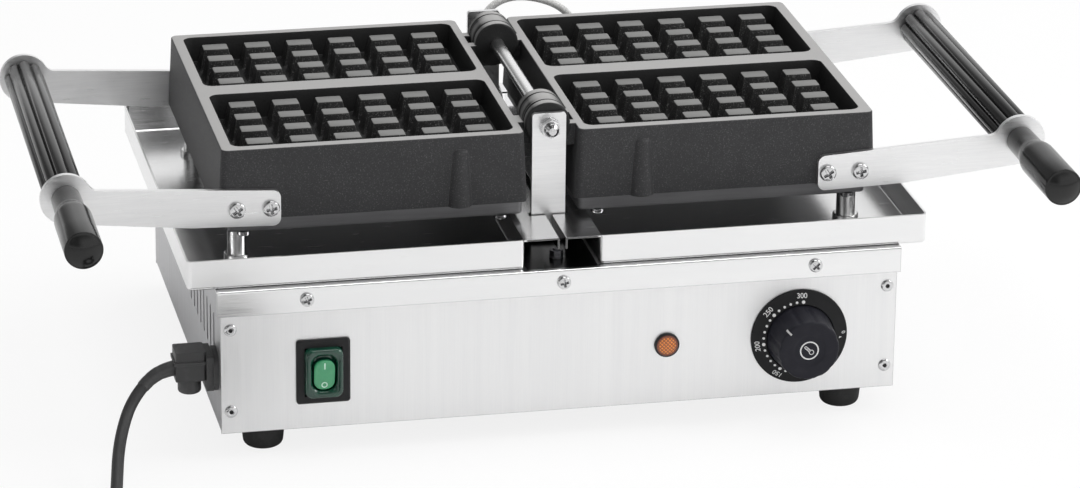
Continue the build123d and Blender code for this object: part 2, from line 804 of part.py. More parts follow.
def casting(side):
    """Cast half: two cavities, a hollow underside and the hinge knuckles."""
    lean = casting_height * math.tan(math.radians(casting_draft))
    outline = Polyline(
        (casting_inner_x, face_z),
        (casting_outer_x, face_z),
        (casting_outer_x + lean, casting_z),
        (casting_inner_x - lean, casting_z),
        close=True,
    )
    rear_plane = Plane(origin=(0, casting_back, 0), x_dir=(1, 0, 0), z_dir=(0, -1, 0))
    body = extrude(rear_plane * make_face(outline), casting_depth)
    body = fillet(body.edges().group_by(Axis.Z)[1], casting_corner)
    body = fillet(body.edges().group_by(Axis.Z)[-1], casting_edge)
    body += cast_boss(casting_front, -1) + cast_boss(casting_back, 1)
    body += tongue(front_knuckles) if side < 0 else fork(front_knuckles)
    body += fork(rear_knuckles) if side < 0 else tongue(rear_knuckles)
    body -= rod(
        axle_radius + fit,
        (0, front_knuckles - cut_over, axle_z),
        (0, rear_knuckles + cluster_width + cut_over, axle_z),
    )
    rim = RectangleRounded(cavity_width, cavity_length, cavity_corner)
    for end in (-1, 1):
        plane = Plane(origin=(cavity_x, mid_y + end * cavity_offset, face_z))
        body -= extrude(plane * rim, -cavity_depth, taper=cavity_draft)
    pocket = block(
        (casting_inner_x + skirt_wall, casting_front + skirt_wall, casting_z - cut_over),
        (casting_outer_x - skirt_wall, casting_back - skirt_wall, pocket_z),
    )
    pocket = fillet(pocket.edges().filter_by(Axis.Z), pocket_corner)
    for x, y in heater_screw_places():
        pocket -= rod(heater_boss_radius, (x, y, casting_z - cut_over), (x, y, face_z))
    body -= pocket
    screw_end = heater_cover_z + heater_screw_length + cut_over
    for x, y in heater_screw_places():
        body -= rod(m4_shank + slip, (x, y, casting_z - cut_over), (x, y, screw_end))
    for wall_y, inward in ((casting_front, 1), (casting_back, -1)):
        for x, z in arm_screw_places():
            depth = wall_y + inward * (arm_screw_length - arm_sheet + slip)
            body -= rod(m5_shank + slip, (x, wall_y - inward * cut_over, z), (x, depth, z))
    x, z = sleeve_ends(side)[-1]
    body -= rod(sleeve_radius / 2, (x, pocket.center().Y, z), (x, casting_back + cut_over, z))
    keep(side_name(side, "casting"), mirrored(body, side))


def side_name(side, name):
    """Node name of a piece of the left or the right half."""
    return ("left_" if side < 0 else "right_") + name


def studs(side):
    """The tapered studs on the floors of a casting's two cavities."""
    height = cavity_depth - stud_drop
    spread = 2 * height * math.tan(math.radians(stud_draft))
    foot = Rectangle(stud_pitch_x - channel_x + spread, stud_pitch_y - channel_y + spread)
    stud = extrude(foot, height, taper=stud_draft)
    pieces = []
    for end in (-1, 1):
        for column in range(stud_columns):
            for row in range(stud_rows):
                x = cavity_x + (column - (stud_columns - 1) / 2) * stud_pitch_x
                y = mid_y + end * cavity_offset + (row - (stud_rows - 1) / 2) * stud_pitch_y
                pieces.append(Pos(side * x, y, cavity_floor_z) * stud)
    keep(side_name(side, "studs"), group(pieces))


def heater(side):
    """Tubular element, insulation board and sheet cover below a casting."""
    top = pocket_z - seat_gap
    line_z = top - element_radius
    near, far = casting_inner_x + element_inset + skirt_wall, casting_outer_x - element_inset
    front = mid_y - element_legs
    back = mid_y + element_legs
    route = FilletPolyline(
        (near, back, line_z),
        (far, back, line_z),
        (far, front, line_z),
        (near, front, line_z),
        (near, mid_y, line_z),
        radius=element_inset,
    )
    start = Plane(origin=route @ 0, z_dir=route % 0)
    element = sweep(start * Circle(element_radius), path=route)
    keep(side_name(side, "heating_element"), mirrored(element, side))

    board_top = line_z - element_radius - seat_gap
    inset = skirt_wall + board_room
    cover_top = heater_cover_z + heater_cover_sheet
    board = block(
        (casting_inner_x + inset, casting_front + inset, cover_top),
        (casting_outer_x - inset, casting_back - inset, board_top),
    )
    for x, y in heater_screw_places():
        room = heater_boss_radius + board_room
        board -= rod(room, (x, y, heater_cover_z), (x, y, pocket_z))
    keep(side_name(side, "insulation_board"), mirrored(board, side))

    low = (casting_inner_x + heater_cover_side, casting_front + heater_cover_inset)
    high = (casting_outer_x - heater_cover_inset, casting_back - heater_cover_inset)
    cover = block((*low, heater_cover_z), (*high, casting_z))
    cover = fillet(cover.edges().filter_by(Axis.Z), tray_corner)
    cover = fillet(cover.edges().group_by(Axis.Z)[0], tray_bend)
    hollow = block(
        (low[0] + heater_cover_sheet, low[1] + heater_cover_sheet, cover_top),
        (high[0] - heater_cover_sheet, high[1] - heater_cover_sheet, casting_z + cut_over),
    )
    cover -= fillet(hollow.edges().filter_by(Axis.Z), tray_corner - heater_cover_sheet)
    screws = []
    for x, y in heater_screw_places():
        cover -= rod(m4_shank + slip, (x, y, heater_cover_z - cut_over), (x, y, casting_z))
        seat = (x, y, heater_cover_z)
        screw = pan_screw(seat, (0, 0, 1), m4_shank, m4_head, m4_head_height, heater_screw_length)
        screws.append(mirrored(screw, side))
    keep(side_name(side, "heater_cover"), mirrored(cover, side))
    keep(side_name(side, "heater_cover_screws"), group(screws))


def arm(side, name, inner_y, outward):
    """Flat arm from the casting's wall to the disc that holds the handle's rod."""
    low = arm_low_z()
    high = low + arm_root_height
    knee = (arm_start_x + arm_knee_reach, low + arm_knee_rise)
    reach_x, reach_z = handle_x - knee[0], handle_z - knee[1]
    distance = math.hypot(reach_x, reach_z)
    bearing = math.atan2(reach_z, reach_x) - math.asin(arm_disc_radius / distance)
    tangent = math.sqrt(distance**2 - arm_disc_radius**2)
    foot = (knee[0] + tangent * math.cos(bearing), knee[1] + tangent * math.sin(bearing))
    turn = math.radians(arm_join_angle)
    upper = (
        handle_x - arm_disc_radius * math.cos(turn),
        handle_z + arm_disc_radius * math.sin(turn),
    )
    plane = Plane(origin=(0, inner_y, 0), x_dir=(1, 0, 0), z_dir=(0, -1, 0))
    outline = make_face(
        Polyline((arm_start_x, low), knee, foot, (handle_x, handle_z), upper, (arm_start_x, high), close=True)
    )
    outline += Pos(handle_x, handle_z) * Circle(arm_disc_radius)
    corners = outline.vertices()
    root = [corners.sort_by_distance((arm_start_x, z))[0] for z in (low, high)]
    outline = fillet(root, arm_corner)
    bend = outline.vertices().sort_by_distance((*knee, 0))[0]
    outline = fillet(bend, arm_knee_radius)
    inner = outline.vertices().sort_by_distance((*upper, 0))[0]
    outline = fillet(inner, arm_disc_fillet)
    plate = extrude(plane * outline, -outward * arm_sheet)
    end_y = inner_y + 2 * outward * arm_sheet
    start_y = inner_y - outward * cut_over
    plate -= rod(rod_radius + slip, (handle_x, start_y, handle_z), (handle_x, end_y, handle_z))
    for x, z in arm_screw_places():
        plate -= rod(m5_shank + slip, (x, start_y, z), (x, end_y, z))
    keep(side_name(side, name), mirrored(plate, side))


def handle(side):
    """Two arms with their screws, the rod, the fluted grip, the front end piece and nut."""
    arm(side, "front_arm", casting_front, -1)
    arm(side, "rear_arm", casting_back, 1)
    screws = []
    for wall_y, outward in ((casting_front, -1), (casting_back, 1)):
        for x, z in arm_screw_places():
            seat = (x, wall_y + outward * arm_sheet, z)
            screw = pan_screw(
                seat, (0, -outward, 0), m5_shank, m5_head, m5_head_height, arm_screw_length
            )
            screws.append(mirrored(screw, side))
    keep(side_name(side, "arm_screws"), group(screws))

    outer_front = casting_front - arm_sheet
    outer_back = casting_back + arm_sheet
    rod_front = outer_front - end_socket_depth
    rod_back = outer_back + handle_nut_height + rod_tail
    axis = (handle_x, handle_z)

    def on_axis(y):
        return (axis[0], y, axis[1])

    bar = rod(rod_radius, on_axis(rod_front), on_axis(rod_back))
    nut = hex_bar(handle_nut_flats, on_axis(outer_back), on_axis(outer_back + handle_nut_height))
    nut -= rod(rod_radius + fit, on_axis(casting_back), on_axis(rod_back + cut_over))
    keep(side_name(side, "handle_rod"), mirrored(group([bar, nut]), side))

    grip_start, grip_end = casting_front + seat_gap, casting_back - seat_gap
    plane = Plane(origin=on_axis(grip_start), z_dir=(0, 1, 0))
    section = Circle(grip_core_radius)
    ring = grip_radius - grip_lobe_radius
    for lobe in PolarLocations(ring, grip_lobes):
        section += lobe * Circle(grip_lobe_radius)
    grip = extrude(plane * section, grip_end - grip_start)
    grip -= rod(rod_radius + slip, on_axis(casting_front), on_axis(casting_back))
    keep(side_name(side, "handle_grip"), mirrored(grip, side))

    neck_end = end_collar_length + end_neck_length
    barrel_start = neck_end + end_shoulder_length
    dome = [
        (end_length + end_dome * math.sin(turn), end_barrel_radius * math.cos(turn))
        for turn in (math.radians(step * 15) for step in range(1, 6))
    ]
    piece = turned_profile(
        [
            (0, 0),
            (0, end_neck_radius),
            (neck_end, end_neck_radius),
            (barrel_start, end_barrel_radius),
            (end_length, end_barrel_radius),
            *dome,
            (end_length + end_dome, 0),
        ],
        on_axis(outer_front),
        (0, -1, 0),
        (0, 0, 1),
    )
    piece += hex_bar(end_collar_flats, on_axis(outer_front), on_axis(outer_front - end_collar_length))
    piece -= rod(rod_radius + fit, on_axis(casting_front), on_axis(rod_front))
    keep(side_name(side, "grip_end"), mirrored(piece, side))


def sleeve_ends(side):
    """Corners of a sleeve's route behind the castings, as x and z of the right half."""
    entry_z = casting_z + sleeve_entry_height
    if side > 0:
        crest = face_z + 4.6 * sleeve_radius
        return [
            (sleeve_start_x, cover_low_z - sleeve_start_drop),
            (sleeve_start_x, tray_top_z),
            (sleeve_start_x - 5 * sleeve_radius, casting_z + casting_height / 3),
            (sleeve_start_x - 5 * sleeve_radius, face_z),
            (sleeve_start_x + 4 * sleeve_radius, crest),
            (sleeve_start_x + 18 * sleeve_radius, face_z),
            (sleeve_start_x + 21 * sleeve_radius, entry_z),
        ]
    crest = face_z - 4 * sleeve_radius
    return [
        (sleeve_start_x, cover_low_z - sleeve_start_drop),
        (sleeve_start_x, tray_top_z),
        (sleeve_start_x - 2 * sleeve_radius, casting_z + casting_height / 3),
        (sleeve_start_x + 5 * sleeve_radius, crest),
        (sleeve_start_x + 17 * sleeve_radius, casting_z + casting_height / 2),
        (sleeve_start_x + 21 * sleeve_radius, entry_z),
    ]


def bend_radii(points):
    """The largest arc at each corner: 0.45 of the shorter run over the tangent of half the turn."""
    radii = []
    for before, corner, after in zip(points, points[1:], points[2:]):
        run_in, run_out = Vector(*corner) - Vector(*before), Vector(*after) - Vector(*corner)
        turn = math.radians(run_in.get_angle(run_out))
        radii.append(0.45 * min(run_in.length, run_out.length) / math.tan(turn / 2))
    return radii


def tube(points, radius):
    """A round tube on straight runs joined by tangent arcs, and the radii of the arcs."""
    radii = bend_radii(points)
    path = FilletPolyline(*points, radius=radii)
    start = Plane(origin=path @ 0, z_dir=path % 0)
    return sweep(start * Circle(radius), path=path), path, radii


def sleeves():
    """Sleeved leads from the base to both castings, and their grommets in the cover."""
    grommets = []
    for side in (-1, 1):
        flat = sleeve_ends(side)
        last_x, last_z = flat[-1]
        route = [(x, sleeve_y, z) for x, z in flat[:-1]]
        route += [(last_x, sleeve_y, last_z + sleeve_plane), (last_x, casting_back, last_z)]
        shape, path, radii = tube(route, sleeve_radius)
        print(side_name(side, "sleeve"), "radii", [round(value, 1) for value in radii])
        shape &= block(
            (0, casting_back, 0), (casting_outer_x, casting_back + 2 * sleeve_plane, 2 * face_z)
        )
        keep(side_name(side, "sleeve"), mirrored(shape, side))
        x = side * sleeve_start_x
        ring = rod(grommet_radius, (x, sleeve_y, cover_z), (x, sleeve_y, cover_z + grommet_head))
        ring += rod(grommet_neck, (x, sleeve_y, cover_low_z - grommet_head), (x, sleeve_y, cover_z))
        ring -= rod(
            sleeve_radius + fit, (x, sleeve_y, cover_low_z - grommet_radius), (x, sleeve_y, tray_top_z)
        )
        grommets.append(ring)
    keep("sleeve_grommets", group(grommets))


def mains_switch():
    """Switch housing with its bezel, and the rocker on its two pins."""
    middle = pan_z + panel_line - switch_drop
    front = panel_y - switch_proud
    bezel = block(
        (switch_x - switch_width / 2, front, middle - switch_height / 2),
        (switch_x + switch_width / 2, panel_y, middle + switch_height / 2),
    )
    bezel = fillet(bezel.edges().filter_by(Axis.Y), 2 * switch_edge)
    bezel = chamfer(bezel.faces().sort_by(Axis.Y)[0].edges(), switch_edge)
    housing = bezel + block(
        (switch_x - switch_body_width / 2, panel_y, middle - switch_body_height / 2),
        (switch_x + switch_body_width / 2, panel_y + switch_body_depth, middle + switch_body_height / 2),
    )
    half_window = switch_window_width / 2
    housing -= block(
        (switch_x - half_window, front - cut_over, middle - switch_window_height / 2),
        (switch_x + half_window, panel_y + switch_window_depth, middle + switch_window_height / 2),
    )
    pivot_y = panel_y + rocker_pivot
    pin_end = half_window + rocker_pin_length
    housing -= rod(
        rocker_pin_radius + fit,
        (switch_x - pin_end, pivot_y, middle),
        (switch_x + pin_end, pivot_y, middle),
    )
    keep("switch_housing", housing)

    half = half_window - rocker_side_room
    plane = Plane(origin=(switch_x - half, pivot_y, middle), x_dir=(0, 1, 0), z_dir=(1, 0, 0))
    face_line = ThreePointArc(
        (-rocker_front, rocker_half), (rocker_hollow - rocker_front, 0), (-rocker_front, -rocker_half)
    )
    back_line = Polyline(
        (-rocker_front, -rocker_half),
        (rocker_back, -rocker_back_half),
        (rocker_back, rocker_back_half),
        (-rocker_front, rocker_half),
    )
    rocker = extrude(plane * make_face(face_line + back_line), 2 * half)
    rocker = rocker.rotate(Axis((switch_x, pivot_y, middle), (1, 0, 0)), rocker_tilt)
    reach = pin_end - rocker_side_room
    rocker += rod(
        rocker_pin_radius, (switch_x - reach, pivot_y, middle), (switch_x + reach, pivot_y, middle)
    )
    keep("switch_rocker", rocker)


def pilot_lamp():
    """Lamp housing with its rim, and the amber lens in it."""
    z = pan_z + panel_line
    rim_y = panel_y - lamp_rim_height
    housing = rod(lamp_rim_radius, (lamp_x, rim_y, z), (lamp_x, panel_y, z))
    housing = fillet(housing.edges().group_by(Axis.Y)[0], lamp_rim_height / 3)
    housing += rod(lamp_body_radius, (lamp_x, panel_y, z), (lamp_x, panel_y + lamp_body_depth, z))
    seat_y = panel_y + lamp_lens_depth
    housing -= rod(lamp_lens_radius + fit, (lamp_x, rim_y - cut_over, z), (lamp_x, seat_y, z))
    keep("lamp_housing", housing)
    lens_front = panel_y - lamp_lens_proud
    lens = rod(lamp_lens_radius, (lamp_x, lens_front, z), (lamp_x, seat_y, z))
    lens = fillet(lens.edges().group_by(Axis.Y)[0], lamp_lens_radius / 3)
    keep("lamp_lens", lens)


def thermostat():
    """Thermostat behind the panel, its screws, dial ring, shaft and knob."""
    z = pan_z + panel_line
    inner_y = panel_y + panel_sheet
    ring_y = panel_y - dial_sheet
    ring = rod(dial_radius, (dial_x, ring_y, z), (dial_x, panel_y, z))
    ring -= rod(bush_radius + slip, (dial_x, ring_y - cut_over, z), (dial_x, inner_y, z))
    half = thermostat_size / 2
    body = block(
        (dial_x - half, inner_y, z - half), (dial_x + half, inner_y + thermostat_depth, z + half)
    )
    body += rod(bush_radius, (dial_x, ring_y, z), (dial_x, inner_y, z))
    shaft_back = inner_y + thermostat_shaft_depth
    body -= rod(shaft_radius + fit, (dial_x, ring_y - cut_over, z), (dial_x, shaft_back, z))
    screws = []
    for side in (-1, 1):
        x = dial_x + side * thermostat_screw_spread
        hole_end = ring_y + thermostat_screw_length
        ring -= rod(m3_shank + slip, (x, ring_y - cut_over, z), (x, inner_y, z))
        body -= rod(m3_shank + slip, (x, inner_y - cut_over, z), (x, hole_end + slip, z))
        screws.append(
            pan_screw(
                (x, ring_y, z), (0, 1, 0), m3_shank, m3_head, m3_head_height, thermostat_screw_length
            )
        )
    keep("dial_ring", ring)
    keep("thermostat_body", body)
    keep("thermostat_screws", group(screws))

    knob_back = ring_y - knob_gap
    knob_front = panel_y - knob_reach
    length = knob_back - knob_front
    profile = [(0, 0), (0, knob_back_radius), (length, knob_face_radius), (length, 0)]
    knob = turned_profile(profile, (dial_x, knob_back, z), (0, -1, 0), (0, 0, 1))
    knob = fillet(knob.edges().group_by(Axis.Y)[0], knob_edge)
    flute = rod(knob_flute_radius, (0, -knob_hollow_depth, 0), (0, knob_reach, 0))
    for number in range(knob_flutes):
        angle = 2 * math.pi * (number + 1 / 2) / knob_flutes
        ring_radius = knob_face_radius + knob_flute_radius - knob_flute_bite
        x = dial_x + ring_radius * math.cos(angle)
        height = z + ring_radius * math.sin(angle)
        knob -= Pos(x, knob_front, height) * flute
    hollow_front = knob_back - knob_hollow_depth
    hollow = rod(
        knob_back_radius - knob_wall, (dial_x, knob_back + cut_over, z), (dial_x, hollow_front, z)
    )
    hollow -= rod(knob_hub_radius, (dial_x, knob_back + cut_over, z), (dial_x, hollow_front, z))
    knob -= hollow
    bore_front = knob_back - knob_bore_depth
    knob -= rod(shaft_radius, (dial_x, knob_back + cut_over, z), (dial_x, bore_front, z))
    line_middle = knob_face_radius - pointer_inset - pointer_length / 2
    line = Box(pointer_width, 2 * pointer_depth, pointer_length)
    line = Pos(dial_x, knob_front, z) * Rot(0, -pointer_angle, 0) * Pos(0, 0, line_middle) * line
    keep("knob", knob - line)
    keep("thermostat_shaft", rod(shaft_radius, (dial_x, bore_front, z), (dial_x, shaft_back - fit, z)))


def terminal_block():
    """Terminal block on the pan's floor, with an entry at both ends of each pole."""
    low_z = pan_z + pan_sheet
    low_x = terminal_x - terminal_length / 2
    low_y = panel_y + terminal_y
    body = block(
        (low_x, low_y, low_z),
        (low_x + terminal_length, low_y + terminal_depth, low_z + terminal_height),
    )
    pitch = terminal_length / terminal_poles
    for pole in range(terminal_poles):
        x = low_x + pitch * (pole + 1 / 2)
        z = low_z + terminal_height / 2
        for y, inward in ((low_y, 1), (low_y + terminal_depth, -1)):
            body -= rod(
                terminal_hole_radius,
                (x, y - inward * cut_over, z),
                (x, y + inward * terminal_hole_depth, z),
            )
    keep("terminal_block", body)


def cord_gland():
    """Gland on the left wall: flange, backing plate, clamp body and its nut inside."""
    y, z = panel_y + gland_y, pan_z + gland_z
    wall = -base_width / 2
    flange_x = wall - gland_flange_sheet
    plate_x = flange_x - gland_plate_sheet
    body_x = plate_x - gland_body_length
    body = rod(gland_flange_radius, (flange_x, y, z), (wall, y, z))
    plate = block(
        (plate_x, y - gland_plate_half, z - gland_plate_half),
        (flange_x, y + gland_plate_half + gland_ridge_height, z + gland_plate_rise),
    )
    body += fillet(plate.edges().filter_by(Axis.X), gland_body_edge)
    block_low = z - gland_body_below
    clamp = block(
        (body_x, y - gland_body_half, block_low), (plate_x, y + gland_body_half, z + gland_body_above)
    )
    body += fillet(clamp.edges().filter_by(Axis.Z), gland_body_edge)
    ridge_z = z + gland_ridge_above
    body += block(
        (body_x - gland_ridge, y - gland_body_half - gland_ridge, ridge_z),
        (plate_x, y + gland_body_half + gland_ridge, ridge_z + gland_ridge_height),
    )
    middle_x = (body_x + plate_x) / 2
    boss_low = block_low - gland_boss_length
    boss = rod(gland_boss_radius, (middle_x, y, boss_low), (middle_x, y, block_low))
    body += fillet(boss.edges().group_by(Axis.Z)[0], gland_boss_edge)
    body += rod(gland_thread_radius, (wall, y, z), (wall + gland_thread_length, y, z))
    cord_z = z + gland_cord_rise
    body -= rod(
        cord_radius + cord_room, (body_x - cut_over, y, cord_z), (body_x + gland_bore_depth, y, cord_z)
    )
    body -= rod(cord_radius, (body_x, y, z), (wall + gland_thread_length + cut_over, y, z)) & block(
        (body_x + gland_bore_depth + gland_ridge_height, y - gland_body_half, z - gland_body_half),
        (wall + gland_thread_length + cut_over, y + gland_body_half, z + gland_body_half),
    )
    keep("cord_gland", body)
    nut_x = wall + pan_sheet
    nut = hex_bar(gland_nut_flats, (nut_x, y, z), (nut_x + gland_nut_height, y, z))
    nut -= rod(gland_thread_radius + fit, (wall, y, z), (wall + gland_thread_length, y, z))
    keep("gland_nut", nut)
    return (body_x + gland_bore_depth - cord_joint, y, cord_z)


# Route of the mains lead, from the gland down to the table and on to the coil
cord_points = [
    (-228.9, -95.475, 50.4),
    (-239.6, -98.6, 45.7),
    (-251.2, -105.8, 35.6),
    (-257.7, -118.2, 25.6),
    (-262.8, -137.8, 18.9),
    (-266.2, -158.4, 12.1),
    (-270.2, -182.1, 5.3),
    (-273.5, -207.3, 3.5),
]
coil_start = (-273.5, -233.0)


def coil_state(turn):
    """Place and direction on the coil after some turns, counted from its first point."""
    total = coil_turns_in + coil_turns_out
    reverse = coil_turns_in
    inward = min(turn, reverse) - max(turn - reverse, 0)
    radius = coil_outer_radius - coil_turn_pitch * inward
    radial_rate = -coil_turn_pitch if turn < reverse else coil_turn_pitch
    climb = min(max((turn - reverse + 1 / 4) * 2, 0), 1)
    lift = (1 - math.cos(math.pi * climb)) / 2
    lift_rate = math.pi * math.sin(math.pi * climb) if 0 < climb < 1 else 0
    angle = math.pi + 2 * math.pi * turn
    centre_x = coil_start[0] + coil_outer_radius
    place = Vector(
        centre_x + radius * math.cos(angle),
        coil_start[1] - cord_radius * 2 + radius * math.sin(angle),
        cord_radius + coil_layer_pitch * lift,
    )
    swing = 2 * math.pi * radius
    way = Vector(
        radial_rate * math.cos(angle) - swing * math.sin(angle),
        radial_rate * math.sin(angle) + swing * math.cos(angle),
        coil_layer_pitch * lift_rate,
    )
    if turn in (0, total, reverse):
        way = Vector(-math.sin(angle), math.cos(angle), coil_layer_pitch * lift_rate / swing)
    return place, way.normalized()


def biarc(start, start_way, end, end_way):
    """Two tangent arcs that join two points in the given directions."""
    chord = end - start
    both = start_way + end_way
    spare = 2 * (1 - start_way.dot(end_way))
    reach = chord.dot(both)
    size = (-reach + math.sqrt(reach**2 + spare * chord.dot(chord))) / spare
    joint = (start + start_way * size + end - end_way * size) * (1 / 2)
    first = Edge.make_tangent_arc(start, start_way, joint)
    second = Edge.make_tangent_arc(end, -end_way, joint)
    return [first, Edge.make_tangent_arc(joint, first % 1, end)] if second else [first]


def least_self_gap(wire, diameter):
    """Least room between turns, measured on points along the wire."""
    count = int(wire.length / (diameter / 2))
    points = [wire @ (number / count) for number in range(count + 1)]
    away = 6
    return min(
        (points[a] - points[b]).length for a in range(count) for b in range(a + away, count + 1)
    ) - diameter


def mains_lead(gland_end):
    """The lead's visible run, its coil of spare length, and the plug."""
    diameter = 2 * cord_radius
    start_place, start_way = coil_state(0)
    lead_in = start_place - start_way * diameter
    route = [gland_end, *cord_points, (lead_in.X, lead_in.Y, lead_in.Z)]
    shape, path, radii = tube(route, cord_radius)
    print("lead radii", [round(value, 1) for value in radii])
    print("lead volume share", shape.volume / (path.length * math.pi * cord_radius**2))
    keep("mains_cord", shape)

    turns = coil_turns_in + coil_turns_out
    steps = int(round(turns * 4))
    states = [coil_state(step / 4) for step in range(steps + 1)]
    edges = [Edge.make_line(lead_in, start_place)]
    for (a, a_way), (b, b_way) in zip(states, states[1:]):
        edges += biarc(a, a_way, b, b_way)
    end_place, end_way = states[-1]
    tail = end_place + end_way * diameter
    edges.append(Edge.make_line(end_place, tail))
    wire = Wire(edges)
    coil = sweep(Plane(origin=lead_in, z_dir=start_way) * Circle(cord_radius), path=wire)
    print("coil length", round(wire.length), "least gap", round(least_self_gap(wire, diameter), 2))
    print("coil volume share", coil.volume / (wire.length * math.pi * cord_radius**2))
    print("whole lead", round(path.length + wire.length))
    keep("cord_coil", coil)

    relief_start = tail + end_way * cord_joint
    relief_end = relief_start + end_way * plug_relief_length
    middle = relief_end + end_way * (plug_radius - plug_edge)
    relief = turned_profile(
        [(0, 0), (0, plug_relief_tip), (plug_relief_length + plug_edge, plug_relief_root),
         (plug_relief_length + plug_edge, 0)],
        (relief_start.X, relief_start.Y, relief_start.Z),
        (end_way.X, end_way.Y, 0),
        (0, 0, 1),
    )
    body = rod(plug_radius, (middle.X, middle.Y, 0), (middle.X, middle.Y, plug_height))
    body = fillet(body.edges(), plug_edge)
    body += relief
    pins = []
    for side in (-1, 1):
        x, y = middle.X, middle.Y + side * plug_pin_spread / 2
        root = plug_height - plug_pin_root
        body -= rod(plug_pin_radius, (x, y, root), (x, y, plug_height + cut_over))
        pin = rod(plug_pin_radius, (x, y, root), (x, y, plug_height + plug_pin_length))
        pins.append(fillet(pin.edges().group_by(Axis.Z)[-1], plug_pin_radius / 2))
    keep("mains_plug", body)
    keep("plug_pins", group(pins))


base_pan()
front_panel()
keep("rear_panel", panel_blank(back_y - panel_sheet))
base_cover()
base_fasteners()
feet()
rest_posts()
bracket("front_bracket", bracket_front_y, -1)
bracket("rear_bracket", bracket_rear_y, 1)
bracket_fasteners()
axle()
for half_side in (-1, 1):
    tray(half_side)
    casting(half_side)
    studs(half_side)
    heater(half_side)
    handle(half_side)
sleeves()
mains_switch()
pilot_lamp()
thermostat()
terminal_block()
mains_lead(cord_gland())

for node_name, node_shape in nodes.items():
    export_step(node_shape, f"parts/{node_name}.step")
print(len(nodes), "nodes")
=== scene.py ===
import json
import math

import bmesh
import bpy
import numpy as np
from mathutils import Matrix, Vector


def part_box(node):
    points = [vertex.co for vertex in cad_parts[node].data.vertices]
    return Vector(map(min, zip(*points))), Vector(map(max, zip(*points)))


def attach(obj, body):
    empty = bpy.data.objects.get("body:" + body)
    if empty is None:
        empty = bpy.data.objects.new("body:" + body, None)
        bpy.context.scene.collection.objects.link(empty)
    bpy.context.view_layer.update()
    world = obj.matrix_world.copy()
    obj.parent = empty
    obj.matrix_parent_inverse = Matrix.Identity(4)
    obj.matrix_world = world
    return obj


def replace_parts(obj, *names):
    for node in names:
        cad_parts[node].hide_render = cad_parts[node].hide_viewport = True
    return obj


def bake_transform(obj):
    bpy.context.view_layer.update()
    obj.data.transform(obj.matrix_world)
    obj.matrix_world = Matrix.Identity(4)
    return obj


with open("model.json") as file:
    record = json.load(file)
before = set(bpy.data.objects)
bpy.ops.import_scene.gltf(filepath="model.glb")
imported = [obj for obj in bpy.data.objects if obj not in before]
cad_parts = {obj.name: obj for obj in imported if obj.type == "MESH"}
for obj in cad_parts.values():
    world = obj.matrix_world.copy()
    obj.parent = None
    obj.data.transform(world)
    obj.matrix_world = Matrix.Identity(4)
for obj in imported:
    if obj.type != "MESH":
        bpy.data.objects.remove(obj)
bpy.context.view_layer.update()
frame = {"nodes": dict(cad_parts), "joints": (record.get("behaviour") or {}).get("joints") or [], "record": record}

nodes = frame["nodes"]
mm = 0.001
smooth_angle = math.radians(38)
front_view = ((1, 0, 0), (0, 0, 1), (0, -1, 0))


# Places in the part's frame, in millimetres

def corners(node):
    """A node's lowest and highest corner in millimetres."""
    low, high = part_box(node)
    return np.array(low) / mm, np.array(high) / mm


def middle(low, high):
    """The place halfway between two corners."""
    return (low + high) / 2


panel_face = corners("front_panel")[0][1]
ring_low, ring_high = corners("dial_ring")
dial_x, _, dial_z = middle(ring_low, ring_high)
knob_low, knob_high = corners("knob")
casting_low, casting_high = corners("right_casting")
mid_y = middle(casting_low, casting_high)[1]
joint_places = {joint["name"]: np.array(joint["pos_m"]) / mm for joint in frame["joints"]}
axle_z = joint_places["left_half_hinge"][2]
axle_rise = 0.2
face_z = axle_z - axle_rise
cavity_x, cavity_y = 103.55, 54.05


def added(name, data):
    """A new object of the scene, made from a mesh, a curve, a camera or a lamp."""
    made = bpy.data.objects.new(name, data)
    bpy.context.scene.collection.objects.link(made)
    return made


# Surfaces as grids of points

class Surfaces:
    """Grids of points gathered into one piece. A grid's columns run round the surface."""

    def __init__(self):
        self.points, self.faces, self.count = [], [], 0

    def add(self, grid, start_cap=True, end_cap=True):
        """Joins each row of the grid to the next one by four-sided faces, and caps its ends."""
        rows, columns = grid.shape[:2]
        index = self.count + np.arange(rows * columns).reshape(rows, columns)
        beside = np.roll(index, -1, axis=1)
        quads = np.stack([index[:-1], beside[:-1], beside[1:], index[1:]], axis=-1)
        self.faces += quads.reshape(-1, 4).tolist()
        if start_cap:
            self.faces.append(index[0][::-1].tolist())
        if end_cap:
            self.faces.append(index[-1].tolist())
        self.points.append(grid.reshape(-1, 3))
        self.count += rows * columns
        return self

    def add_closed(self, grid):
        """A grid whose first and last rows meet each other or the axis, and so need no caps."""
        return self.add(grid, start_cap=False, end_cap=False)

    def piece(self, name, body, slot, finish=None, flat=False):
        """Closes seams and poles, turns the faces outwards, and lets the piece ride on its body.

        A piece given no body stays unattached here. The finish is the slot's own one where none is named."""
        mesh = bpy.data.meshes.new(name)
        mesh.from_pydata((np.concatenate(self.points) * mm).tolist(), [], self.faces)
        shell = bmesh.new()
        shell.from_mesh(mesh)
        bmesh.ops.remove_doubles(shell, verts=shell.verts, dist=0.002 * mm)
        bmesh.ops.dissolve_degenerate(shell, edges=shell.edges, dist=0.001 * mm)
        bmesh.ops.recalc_face_normals(shell, faces=shell.faces)
        shell.to_mesh(mesh)
        shell.free()
        if not flat:
            mesh.shade_smooth()
            mesh.set_sharp_from_angle(angle=smooth_angle)
        mesh.materials.append(finishes[finish or slot])
        made = added(name, mesh)
        if body:
            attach(made, body)
        return made


def placed(local, origin, across, up, out):
    """Local coordinates (across, up, out) set at the origin along three directions."""
    return np.asarray(origin, float) + local @ np.array([across, up, out], float)


def circle(count):
    """Angles evenly round a full turn."""
    return np.linspace(0, 2 * math.pi, count, endpoint=False)


